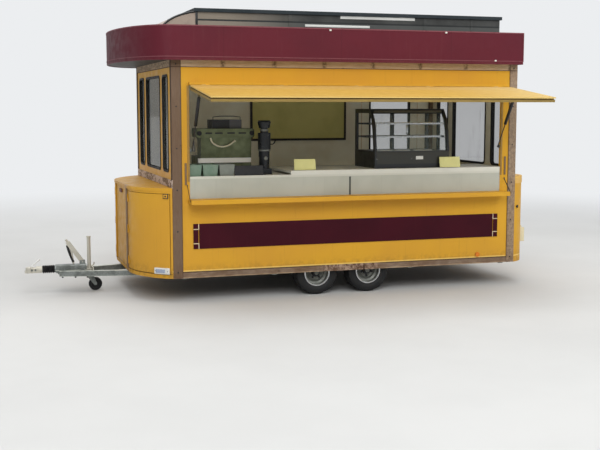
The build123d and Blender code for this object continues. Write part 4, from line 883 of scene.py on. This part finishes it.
# Wheel trims: bright ring, dark hub ring, cap, bolts and valve
def wheelTrims():
    size = {"turn": {"front": -2.199, "rear": -1.571}, "boltCircle": 0.063, "bolts": 5, "valveAt": 0.100}
    rings = (("trimRing_", "chrome", 64, True, (
                 (-0.001, 0.139), (0.0022, 0.1385), (0.0022, 0.1305), (-0.006, 0.1265), (-0.012, 0.1225),
                 (-0.012, 0.1205), (-0.004, 0.1235), (0.0008, 0.1255))),
             ("hubPlate_", "boardBlack", 48, True, (
                 (-0.052, 0.047), (-0.0505, 0.0465), (-0.0515, 0.0345), (-0.054, 0.034))),
             ("hubSleeve_", "boardBlack", 48, True, (
                 (-0.053, 0.034), (-0.053, 0.0375), (-0.024, 0.0372), (-0.0195, 0.0355), (-0.0180, 0.0240),
                 (-0.022, 0.0240))),
             ("hubCap_", "wheelSteel", 48, False, (
                 (-0.0205, 0.0245), (-0.0150, 0.0240), (-0.0115, 0.0205), (-0.0105, 0.012), (-0.0120, 0.010),
                 (-0.0120, 0))))
    for wheel in wheelNames:
        low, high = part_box("rim_" + wheel)
        side = -1 if "near" in wheel else 1
        middle = (low + high) / 2
        middle.y = low.y if side < 0 else high.y
        outward = Vector((0, side, 0))
        body = "wheel_" + wheel

        def at(depth, radius, angle):
            return middle - outward * depth + Vector((math.cos(angle), 0, math.sin(angle))) * radius

        for name, finish, steps, closed, profile in rings:
            spun(name + wheel, finish, profile, steps, outward, middle, closed=closed, body=body)
        start = size["turn"][wheel.split("_")[1]]
        angles = [start + 2 * math.pi * number / size["bolts"] for number in range(size["bolts"])]
        bolts = [at(0.0512, size["boltCircle"], angle) for angle in angles]
        screws("wheelBolts_" + wheel, bolts, outward, 0.0115, "boardBlack", body, 6, 1.3)
        stem = [at(0.030, size["valveAt"], 1.1), at(0.014, size["valveAt"] - 0.004, 1.1)]
        pipe("tyreValve_" + wheel, "seal", stem, 0.0042, 8, 0, body)


tyres()
wheelTrims()
print("wheels made")


# Rubber frame round a pane: a rounded ring on the wall, stepped down to the glass
def paneFrames():
    look = {"over": 0.008, "lip": 0.014, "proud": 0.006, "bottom": 1.300, "top": 2.260, "corner": 0.05,
            "panes": ((-0.705, 0.300), (0, 0.830), (0.705, 0.300)), "doorMiddle": 3.169, "doorPane": 0.540}
    rear = place["bodyLength"]
    height = look["top"] - look["bottom"]
    faces = (("frontFrame", 0.008, 0.020), ("frontInner", 0.038, 0.026),
             ("rearFrame", rear - 0.008, rear - 0.020), ("rearInner", rear - 0.038, rear - 0.026))
    rows = [(name + str(number), "trailer", "x", face, glass, *pane)
            for number, pane in enumerate(look["panes"]) for name, face, glass in faces]
    rows += [(name, "door", "y", face, glass, look["doorMiddle"], look["doorPane"])
             for name, face, glass in (("doorFrameOut", 1.042, 1.030), ("doorFrameIn", 1.012, 1.024))]
    for name, body, axis, face, glass, middle, width in rows:
        way = 1 if face > glass else -1
        level = look["bottom"] + height / 2
        if axis == "x":
            outward, sideways, centre = Vector((way, 0, 0)), Vector((0, way, 0)), spot(face, middle, level)
        else:
            outward, sideways, centre = Vector((0, way, 0)), Vector((-way, 0, 0)), spot(middle, face, level)
        bpy.ops.object.select_all(action="DESELECT")
        bpy.ops.mesh.primitive_plane_add(size=1)
        piece = bpy.context.active_object
        bpy.ops.object.mode_set(mode="EDIT")
        bpy.ops.mesh.select_all(action="SELECT")
        bpy.ops.transform.resize(value=(width + 2 * look["over"], height + 2 * look["over"], 1))
        bpy.ops.mesh.bevel(offset=look["corner"] + look["over"], segments=8, affect="VERTICES")
        bpy.ops.mesh.inset(thickness=look["over"])
        bpy.ops.mesh.inset(thickness=look["lip"])
        bpy.ops.mesh.delete(type="FACE")
        bpy.ops.mesh.select_all(action="SELECT")
        pullOut((0, 0, look["proud"]))
        choose(piece, lambda here: abs(here.x) < width / 2 and abs(here.y) < height / 2 and here.z < 0.0001)
        pullOut((0, 0, 0.0003 - abs(glass - face)))
        choose(piece, lambda here: here.z > look["proud"] - 0.0001)
        bpy.ops.mesh.region_to_loop()
        bpy.ops.mesh.bevel(offset=0.0025, segments=3, affect="EDGES")
        outside()
        bpy.ops.object.mode_set(mode="OBJECT")
        turn = Matrix((sideways, Vector((0, 0, 1)), outward)).transposed().to_4x4()
        piece.matrix_world = Matrix.Translation(centre) @ turn
        settle(piece, name, "seal", body, 35)


# Timber strips: beside the hatch, and at the corners of the front locker
def timberStrips():
    look = {"width": 0.022, "from": 1.212, "to": 2.152, "face": -place["wallFace"], "proud": 0.006}
    for name, start in (("jambStripFront", 0.157), ("jambStripRear", 3.605)):
        boxed(name, "jambTimber", (start, look["face"] - look["proud"], look["from"]),
              (start + look["width"], look["face"], look["to"]))
    strip = boxed("cornerStripNear", "stripTimber", (-0.358, -0.425, 0.286), (-0.3463, -0.366, 1.112), 0.003)
    strip = mirroredCopy(strip, "cornerStripFar")
    strip.data.materials[0] = materials["yellow"]


# Bow of the front locker: a point and its outward direction, by the angle about the bow's centre
def bowPoint(degrees, outward, height):
    bow = {"centre": (0.40192, -0.41925), "radius": 0.74792}
    angle = math.radians(degrees)
    direction = Vector((math.cos(angle), math.sin(angle), 0))
    reach = bow["radius"] + outward
    run, across = [middle + part * reach for middle, part in zip(bow["centre"], direction)]
    return spot(run, across, height), direction, Vector((0, 0, 1)).cross(direction)


# Latch and lamp on each locker door: name, finish, where, out, aside, size, rounding, rim, sunk
def lockerFittings():
    latch = bowPoint(-128.0, -0.001, 1.070)
    lamp = bowPoint(-131.8, -0.006, 0.3245)
    rows = (("latchPlate", "darkSteel", latch, 0, 0, (0.058, 0.050, 0.008), 0.0015, 0.004, -0.001),
            ("latchCover", "yellow", latch, 0.006, 0, (0.042, 0.035, 0.004)),
            ("lockerLamp", "plateWhite", lamp, 0, 0, (0.172, 0.062, 0.019), 0.004, 0.010, -0.003),
            ("lockerLens", "clearLens", lamp, 0.021, -0.012, (0.106, 0.036, 0.004), 0.0015))
    pieces = []
    for name, finish, (where, outward, right), out, aside, *shape in rows:
        plate = plaque(where + outward * out + right * aside, *shape, right=right)
        pieces.append(settle(plate, name + "Near", finish, "locker_near"))
    knob = ((0.009, 0.0085), (0.013, 0.0082), (0.0145, 0.006), (0.0145, 0.004), (0.0135, 0.0035),
            (0.0135, 0))
    pieces.append(spun("latchKnobNear", "darkSteel", knob, 28, latch[1], latch[0], body="locker_near"))
    where, outward, right = lamp
    ends = [where + right * side * 0.070 + outward * 0.0212 for side in (-1, 1)]
    pieces.append(screws("lockerLampScrewsNear", ends, outward, 0.0045, "darkSteel", "locker_near"))
    for piece in pieces:
        mirroredCopy(piece, piece.name.replace("Near", "Far"), "locker_far")


# Cream lines between the sign's corner squares and its board
def signOrnaments():
    look = {"step": 0.058, "gap": 0.009, "thick": 0.006, "inset": 0.012, "low": 0.540, "high": 0.790}
    face = -place["wallFace"]
    for column, (edge, way) in enumerate(((0.208, 1), (3.583, -1))):
        for row, (base, rise) in enumerate(((look["low"], 1), (look["high"], -1))):
            far, near = edge + way * look["step"], edge + way * (look["step"] - look["gap"])
            top, low = base + rise * look["step"], base + rise * (look["step"] - look["gap"])
            outline = [(far, base), (far, top), (edge, top), (edge, low), (near, low), (near, base)]
            points = [spot(run, face, height) for run, height in outline]
            if way * rise < 0:
                points.reverse()
            settle(sheet(points, look["thick"], 0.0008), "signLine" + str(column) + str(row), "inlayCream")
    heights = (look["low"] + look["inset"], look["high"] - look["inset"])
    spots = [spot(run, face - 0.008, height) for run in (0.29, 1.05, 1.90, 2.75, 3.50) for height in heights]
    screws("signScrews", spots, (0, -1, 0), 0.004, "sign")


# Blank cards and plates: name, middle, size, finish, lean
def blankCards():
    rows = (("tableSignFront", (1.391, -0.985, 1.358), (0.229, 0.112, 0.004), "cardYellow", 12),
            ("tableSignRear", (3.03, -0.985, 1.358), (0.24, 0.112, 0.004), "cardYellow", 12),
            ("blackSign", (0.795, -0.985, 1.308), (0.30, 0.100, 0.006), "boardBlack", 8))
    for name, (run, across, height), size, finish, lean in rows:
        lean = math.radians(lean)
        upward = (0, math.sin(lean), math.cos(lean))
        card = plaque(spot(run, across, height), size, 0.0012, 0.008, 0.0008, upward=upward)
        settle(card, name, finish)
        stay = plaque(spot(run, across + 0.035, height - 0.002), (size[0] * 0.9, size[1] * 0.97, 0.003),
                      upward=(0, -upward[1], upward[2]))
        settle(stay, name + "Back", finish)


# Espresso machine: bar ends, hose, steam pipes, spouts, gauge and drip grid
def machineFittings():
    bar = {"front": -0.648, "height": 1.677, "knob": 0.024}
    knob = ((0.001, bar["knob"]), (0.012, bar["knob"]), (0.016, bar["knob"] * 0.8), (0.016, 0.010),
            (0.013, 0.009), (0.013, 0))
    for number, run in enumerate((0.365, 0.921)):
        middle = spot(run, bar["front"], bar["height"])
        spun("barKnob" + str(number), "boardBlack", knob, 36, (0, -1, 0), middle)
    for number, (start, end) in enumerate(((0.43, 0.50), (0.53, 0.61), (0.66, 0.74), (0.78, 0.86))):
        middle = spot((start + end) / 2, bar["front"], bar["height"])
        settle(plaque(middle, (end - start, 0.016, 0.002), 0.0006), "barBadge" + str(number), "boardBlack")
    bend = ((0.487, -0.628, 1.628), (0.50, -0.640, 1.575), (0.59, -0.634, 1.530), (0.68, -0.632, 1.548),
            (0.748, -0.628, 1.600))
    pipe("machineHose", "hosePale", [spot(*point) for point in bend], 0.0085)
    for number, run in enumerate((0.425, 0.888)):
        bend = ((-0.158, 1.66), (-0.115, 1.65), (-0.100, 1.60), (-0.112, 1.475))
        pipe("steamPipe" + str(number), "chrome", [spot(run, *point) for point in bend], 0.005)
        spun("steamTip" + str(number), "chrome", ((0, 0.0062), (0.010, 0.0066), (0.018, 0.004), (0.018, 0)),
              20, (0, 0.09, -1), spot(run, -0.111, 1.482), (1, 0, 0))
    ring = ((-0.003, 0.034), (0.012, 0.0355), (0.016, 0.033), (0.016, 0.0312), (-0.003, 0.0312))
    for number, run in enumerate((0.539, 0.774)):
        middle = spot(run, -0.270, 1.592)
        spun("groupRing" + str(number), "chrome", ring, 40, (0, 0, 1), middle, (1, 0, 0), True)
        bend = ((-0.24, 1.588), (-0.235, 1.56), (-0.235, 1.54))
        pipe("groupSpout" + str(number), "chrome", [spot(run, *point) for point in bend], 0.007)
    bars = []
    for number in range(20):
        run = 0.40 + 0.0255 * number
        bars.append(block((run, -0.42, 1.4305), (run + 0.006, -0.150, 1.4365), 0.001))
        bpy.ops.object.mode_set(mode="OBJECT")
    settle(joined(bars), "dripGrid", "chrome")
    dial = ((0.0, 0.030), (0.010, 0.030), (0.012, 0.027), (0.009, 0.0262), (0.009, 0))
    spun("machineGauge", "plateWhite", dial, 40, (0, 1, 0), spot(0.656, -0.180, 1.668))
    needle = plaque(spot(0.661, -0.1705, 1.672), (0.022, 0.0022, 0.001), 0.0002,
                    right=(1, 0, 0.8), upward=(-0.8, 0, 1))
    settle(needle, "gaugeNeedle", "boardBlack")
    bend = ((0.53, 1.815), (0.53, 1.85), (0.82, 1.85), (0.82, 1.815))
    pipe("cupRail", "boardBlack", [spot(run, -0.560, height) for run, height in bend], 0.004, 8, 1)


# Coffee grinder: pale ring, collar, lever and a plain dial
def grinderFittings():
    middle = (1.021, -0.770)
    rings = (("grinderRing", 1.492, 0.0635, 0.018, "wheelSteel"),
             ("grinderCollar", 1.694, 0.0425, 0.026, "wheelSteel"),
             ("hopperLid", 1.797, 0.061, 0.010, "seal"))
    for name, height, radius, tall, finish in rings:
        profile = ((0, radius - 0.004), (0.002, radius), (tall - 0.002, radius), (tall, radius - 0.003),
                   (tall, radius - 0.012), (0, radius - 0.012))
        spun(name, finish, profile, 48, (0, 0, 1), spot(*middle, height), (1, 0, 0), True)
    spun("grinderDial", "wheelSteel", ((0, 0.020), (0.008, 0.0195), (0.010, 0.015), (0.010, 0)), 30,
          (0, -1, 0), spot(middle[0], middle[1] - 0.0555, 1.42), (1, 0, 0))
    bend = ((0.058, 0, 1.56), (0.10, -0.01, 1.565), (0.112, -0.02, 1.60))
    points = [spot(middle[0] + run, middle[1] + across, height) for run, across, height in bend]
    pipe("grinderLever", "boardBlack", points, 0.006, 10, 1)


# Display case: blank plate, strips along its floor, shelf rails and door pulls
def caseFittings():
    case = {"front": -0.950, "rear": -0.368, "floor": 1.480}
    plate = plaque(spot(2.691, case["front"], 1.408), (0.083, 0.036, 0.003), 0.0008)
    settle(plate, "casePlate", "plateWhite")
    for number, (start, end) in enumerate(((2.215, 2.40), (2.43, 2.60), (2.66, 2.86))):
        boxed("caseStrip" + str(number), "plateWhite", (start, -0.905, case["floor"] + 0.0005),
              (end, -0.86, case["floor"] + 0.010), 0.002)
    for number, height in enumerate((1.626, 1.766)):
        boxed("shelfRail" + str(number), "chrome", (2.208, -0.881, height - 0.006),
              (3.010, -0.876, height + 0.016), 0.001)
    for number, run in enumerate((2.42, 2.80)):
        middle = spot(run, case["rear"], 1.70)
        pull = plaque(middle, (0.022, 0.11, 0.008), 0.002, 0.004, 0.004, right=(-1, 0, 0))
        settle(pull, "casePull" + str(number), "chrome")
    spots = [spot(run, case["front"] - 0.0005, 1.40) for run in (2.20, 2.60, 3.015)]
    screws("caseScrews", spots, (0, -1, 0), 0.004)


# Drawbar: bolts, the brake lever's spring and the grips of the levers
def drawbarFittings():
    def rail(run):
        return 0.072 + (run + 1.020) * (0.560 - 0.072) / (1.085 + 1.020)

    feet = [spot(run, side * rail(run), 0.243) for run in (-0.975, -0.780) for side in (-1, 1)]
    screws("footBolts", feet, (0, 0, 1), 0.009, "galvanised", "trailer", 6, 1.2)
    housing = [spot(run, -0.046, 0.252) for run in (-1.02, -0.90, -0.78)]
    head = [spot(run, -0.034, 0.247) for run in (-1.300, -1.262)]
    under = [spot(run, -rail(run), 0.175) for run in (-0.99, -0.86, -0.74)]
    rows = (("housingBolts", housing, (0, -1, 0), 0.007, "galvanised", 1.0),
            ("headBolts", head, (0, -1, 0), 0.0085, "galvanised", 1.1),
            ("railBolts", under, (0, 0, -1), 0.009, "darkSteel", 1.6))
    for name, spots, outward, radius, finish, rise in rows:
        near = screws(name + "Near", spots, outward, radius, finish, "trailer", 6, rise)
        mirroredCopy(near, name + "Far")
    bend = ((-0.930, 0, 0.492), (-0.905, 0, 0.400), (-0.868, 0, 0.312))
    pipe("brakeSpring", "strutBlack", [spot(*point) for point in bend], 0.0135, 14, 1)
    low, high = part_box("jockey_leg")
    stem = Vector((high.x - 0.012, (low.y + high.y) / 2, up(0.262)))
    bend = ((0, 0, 0), (0.030, 0, 0.010), (0.034, 0, 0.040))
    pipe("clampHandle", "paleSteel", [stem + Vector(point) for point in bend], 0.006, 12, 1)
    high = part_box("coupling_handle")[1]
    slope = math.radians(41)
    grip = ((-0.082, 0.0092), (-0.078, 0.0102), (-0.010, 0.0115), (-0.002, 0.0095), (0, 0.004), (0, 0))
    spun("couplingGrip", "whiteMetal", grip, 28, (math.cos(slope), 0, math.sin(slope)),
          (high.x - 0.005, 0, high.z - 0.005), (0, 1, 0))


# Rows of fixings over the body, near and far side, then front and rear
def bodyFixings():
    face, rear = place["wallFace"], place["bodyLength"]
    screwRows = (("sillScrews", 0.345, (12, 9), (3.66, 2.72)), ("railScrews", 2.312, (12, 12), (3.66, 3.66)))
    for name, height, counts, ends in screwRows:
        for side, way, count, end in zip(("Near", "Far"), (-1, 1), counts, ends):
            spots = spread((0.16, way * face, height), (end, way * face, height), count)
            screws(name + side, spots, (0, way, 0), 0.0045, "yellow")
    for side, way in (("Near", -1), ("Far", 1)):
        for name, run in (("Front", 0.05), ("Rear", rear - 0.045)):
            spots = spread((run, way * 1.05, 0.31), (run, way * 1.05, 2.36), 6)
            screws("postBolts" + side + name, spots, (0, way, 0), 0.008, "darkSteel")
    for name, height in (("beadScrews", 2.429), ("topBeadScrews", 2.724)):
        for side, across in (("Near", -1.153), ("Far", 1.1515)):
            spots = spread((0.10, across, height), (3.70, across, height), 13)
            screws(name + side, spots, (0, across, 0), 0.003, "maroon")
    rows = (("frontRailScrews", -0.004, 0.90, 1.190, 8, -1, 0.005, "darkSteel"),
            ("frontTopScrews", 0.008, 0.93, 2.296, 8, -1, 0.004, "yellow"),
            ("rearTopScrews", rear - 0.008, 0.93, 2.296, 8, 1, 0.004, "yellow"),
            ("fasciaEndScrews", rear + 0.011, 1.05, 2.60, 5, 1, 0.004, "maroon"))
    for name, run, half, height, count, way, radius, finish in rows:
        screws(name, spread((run, -half, height), (run, half, height), count), (way, 0, 0), radius, finish)


# Rear: blank plate with its lamp, reflectors, lamp rims
def rearFittings():
    look = {"face": 3.990, "plate": (0.52, 0.11, 0.004), "plateAt": 0.71}
    face = look["face"]
    plate = plaque(spot(face, 0, look["plateAt"]), look["plate"], 0.001, 0.006, -0.001, right=(0, 1, 0))
    settle(plate, "blankPlate", "plateWhite")
    ends = [spot(face + 0.004, side * 0.20, look["plateAt"]) for side in (-1, 1)]
    screws("plateScrews", ends, (1, 0, 0), 0.0045)
    boxed("plateLamp", "blackSteel", (face, -0.05, 0.785), (face + 0.034, 0.05, 0.815), 0.006, 3)
    corners = ((-0.075, 0), (0.075, 0), (0, 0.13))
    cases = (("lampBase", (0.602, 0.850), (-0.006, 0.010), 0.628, 0.004),
             ("lampCase", (0.772, 0.858), (-0.018, 0.042), 0.602, 0.006))
    for number, side in enumerate((-1, 1)):
        points = [spot(face, side * 0.45 + across, 0.50 + rise) for across, rise in corners]
        settle(sheet(points, 0.008, 0.002), "rearReflector" + str(number), "redLens")
        for name, width, depth, top, bevel in cases:
            near, far = sorted(side * across for across in width)
            boxed(name + str(number), "creamPlastic", (face + depth[0], near, 0.446),
                  (face + depth[1], far, top), bevel, 3)


# Entrance door: lock, its handle's screws, a kick strip and a rain strip
def doorFittings():
    face = place["wallFace"]
    lock = ((0.005, 0.012), (0.012, 0.0115), (0.0135, 0.009), (0.0135, 0))
    spun("doorLock", "chrome", lock, 28, (0, 1, 0), spot(2.854, face, 1.17), body="door")
    ends = [spot(2.854, face + 0.006, height) for height in (1.158, 1.282)]
    screws("handleScrews", ends, (0, 1, 0), 0.004, "chrome", "door")
    boxed("kickStrip", "chrome", (2.80, face, 0.352), (3.538, face + 0.005, 0.412), body="door")
    ends = spread((2.83, face + 0.005, 0.382), (3.51, face + 0.005, 0.382), 6)
    screws("kickScrews", ends, (0, 1, 0), 0.004, "chrome", "door")
    outline = ((0, 2.318), (0, 2.328), (0.030, 2.312), (0.030, 2.306))
    drip = sheet([spot(2.77, face + out, height) for out, height in outline], 0.80, 0.0008)
    settle(drip, "dripStrip", "wheelSteel")


# Struts: a dust sleeve over each tube
def strutSleeves():
    start, end, radius, inner = 0.030, 0.350, 0.0165, 0.0112
    along = (0, 0.533007, -0.846111)
    profile = ((start, inner), (start, radius - 0.003), (start + 0.004, radius), (end - 0.004, radius),
               (end, radius - 0.003), (end, inner))
    for name in ("front", "rear"):
        low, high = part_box("strut_tube_" + name)
        eye = ((low.x + high.x) / 2, low.y + 0.010, high.z - 0.010)
        body = "strut_" + name + "_tube"
        spun("strutSleeve_" + name, "strutBlack", profile, 32, along, eye, (1, 0, 0), True, body)


# Roof: pale flashing strips along the raised part, its joints and the fascia's top joints
def roofStrips():
    side = 0.7205
    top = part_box("roof_lantern")[1].z - place["ground"] - 0.035
    rows = (("flashingHigh", 1.87, 2.72, 2.862, 2.893), ("flashingLow", 1.48, 2.20, 2.772, 2.796))
    for name, start, end, low, high in rows:
        strip = boxed(name, "plateWhite", (start, -side - 0.004, low), (end, -side + 0.001, high), 0.001)
        mirroredCopy(strip, name + "Far")
    # The edge of the curved end: a bow through three places, given as run and height
    start, middle, end = Vector((0.330, top)), Vector((0.0868, top - 0.07208)), Vector((-0.050, top - 0.212))
    bow = []
    for number in range(13):
        part = number / 12
        shares = ((1 - part) * (1 - 2 * part), 4 * part * (1 - part), part * (2 * part - 1))
        point = start * shares[0] + middle * shares[1] + end * shares[2]
        bow.append(spot(point.x, -side + 0.004, point.y))
    mirroredCopy(pipe("lanternEdge", "strutBlack", bow, 0.011, 10, 0), "lanternEdgeFar")
    ends = (0.322, -side - 0.006, 2.69), (0.346, -side + 0.002, top - 0.001)
    mirroredCopy(boxed("lanternPost", "strutBlack", *ends, 0.002), "lanternPostFar")
    for number, (run, level) in enumerate(((1.606, 2.709), (2.884, 2.713), (3.465, 2.432))):
        boxed("fasciaClip" + str(number), "plateWhite", (run - 0.011, -1.158, level - 0.008),
              (run + 0.011, -1.149, level + 0.008), 0.002)
    for number, run in enumerate((1.30, 2.82, 3.38)):
        ends = (run, -side - 0.004, top - 0.1805), (run + 0.035, -side + 0.001, top - 0.0005)
        mirroredCopy(boxed("roofSeam" + str(number), "lantern", *ends), "roofSeamFar" + str(number))


# Rear locker: a board on its lid and a knob at its side; then the brackets beside the hatch
def lockerBoard():
    look = {"start": Vector((3.790, -1.050)), "end": Vector((4.002, -0.780)), "bulge": 0.046, "low": 1.143,
            "high": 1.194, "knobAt": (0.10, 0.861)}
    length = look["end"] - look["start"]
    aside = Vector((length.y, -length.x)).normalized()

    def bow(share):
        return look["start"].lerp(look["end"], share) + aside * 4 * look["bulge"] * share * (1 - share)

    half = [bow(number / 12) for number in range(13)]
    outline = [spot(point.x, point.y, look["low"]) for point in half]
    outline += [spot(point.x, -point.y, look["low"]) for point in reversed(half)]
    settle(sheet(outline, look["high"] - look["low"], 0.007, 3), "rearLidBoard", "yellow")
    share, height = look["knobAt"]
    profile = ((-0.012, 0.009), (0.004, 0.009), (0.006, 0.017), (0.014, 0.017), (0.018, 0.013), (0.018, 0))
    knob = spun("sideKnob", "boardBlack", profile, 32, (aside.x, aside.y, 0), spot(*bow(share), height))
    mirroredCopy(knob, "sideKnobFar")
    face = -place["wallFace"]
    rows = (("jambBracketFront", 0.128, 1.180, 1.396), ("jambBracketRear", 3.652, 1.215, 1.412))
    for name, start, bottom, top in rows:
        boxed(name, "stripTimber", (start, face - 0.009, bottom), (start + 0.020, face + 0.001, top), 0.002)


lockerBoard()
paneFrames()
timberStrips()
strutSleeves()
roofStrips()
lockerFittings()
signOrnaments()
blankCards()
machineFittings()
grinderFittings()
caseFittings()
drawbarFittings()
bodyFixings()
rearFittings()
doorFittings()
print("fittings made")


# Floor, lamps and pale surroundings; far off, the floor turns into the tone of the sky
def surroundings():
    look = {"floorSize": 400, "floorTone": tint(204, 204, 202), "skyTone": tint(236, 238, 240),
            "skyLight": 0.5, "fade": (5.5, 14), "aim": spot(1.6, 0, 1.1), "black": (0, 0, 0, 1),
            "lamps": (((-3.5, -16.5, 11.0), 9.0, 1400), ((11.0, -11.0, 10.0), 8.0, 640),
                      ((1.4, 11.0, 10.0), 9.0, 620), ((1.6, -2.4, 11.0), 9.0, 760))}
    bpy.ops.object.select_all(action="DESELECT")
    bpy.ops.mesh.primitive_plane_add(size=look["floorSize"], location=spot(1.2, 0, -0.001))
    bpy.ops.object.transform_apply(location=True, rotation=True, scale=True)
    floor = bpy.context.active_object
    floor.name = floor.data.name = "studioFloor"
    skin = Finish("studioFloor")
    tone = skin.mix(skin.cloud((1.2, 4), 0.3, 0.7), look["floorTone"], shade(look["floorTone"], 0.96))
    skin.bump(skin.noise(0.01, 4), 0.0006, 0.3)
    far = skin.node("VectorMath", {0: skin.coord, 1: look["aim"]}, operation="DISTANCE")
    fade = skin.span(far.outputs["Value"], *look["fade"])
    skin.base(fade, tone, look["black"])
    skin.done(0.8, skin.times(skin.rest(fade), 0.1),
              Emission_Color=skin.mix(fade, look["black"], look["skyTone"]), Emission_Strength=1)
    floor.data.materials.append(skin.material)
    for number, (where, size, power) in enumerate(look["lamps"]):
        data = bpy.data.lights.new("softLamp" + str(number), "AREA")
        data.energy = power
        data.size = size
        lamp = bpy.data.objects.new("softLamp" + str(number), data)
        bpy.context.scene.collection.objects.link(lamp)
        lamp.location = spot(*where)
        lamp.rotation_mode = "QUATERNION"
        lamp.rotation_quaternion = (look["aim"] - lamp.location).to_track_quat("-Z", "Y")
    world = bpy.data.worlds.new("paleRoom")
    world.use_nodes = True
    bpy.context.scene.world = world
    tree = world.node_tree
    light = tree.nodes["Background"]
    put(tree, light.inputs["Color"], tint(250, 252, 255))
    put(tree, light.inputs["Strength"], look["skyLight"])
    seen = added(tree, "Background", {"Color": look["skyTone"], "Strength": 1})
    rays = added(tree, "LightPath", {}).outputs
    straight = {0: rays["Is Camera Ray"], 1: rays["Is Transmission Ray"]}
    direct = added(tree, "Math", straight, operation="MAXIMUM")
    mix = added(tree, "MixShader", {0: direct.outputs[0], 1: light.outputs[0], 2: seen.outputs[0]})
    put(tree, tree.nodes["World Output"].inputs["Surface"], mix.outputs[0])


surroundings()
print("surroundings made")
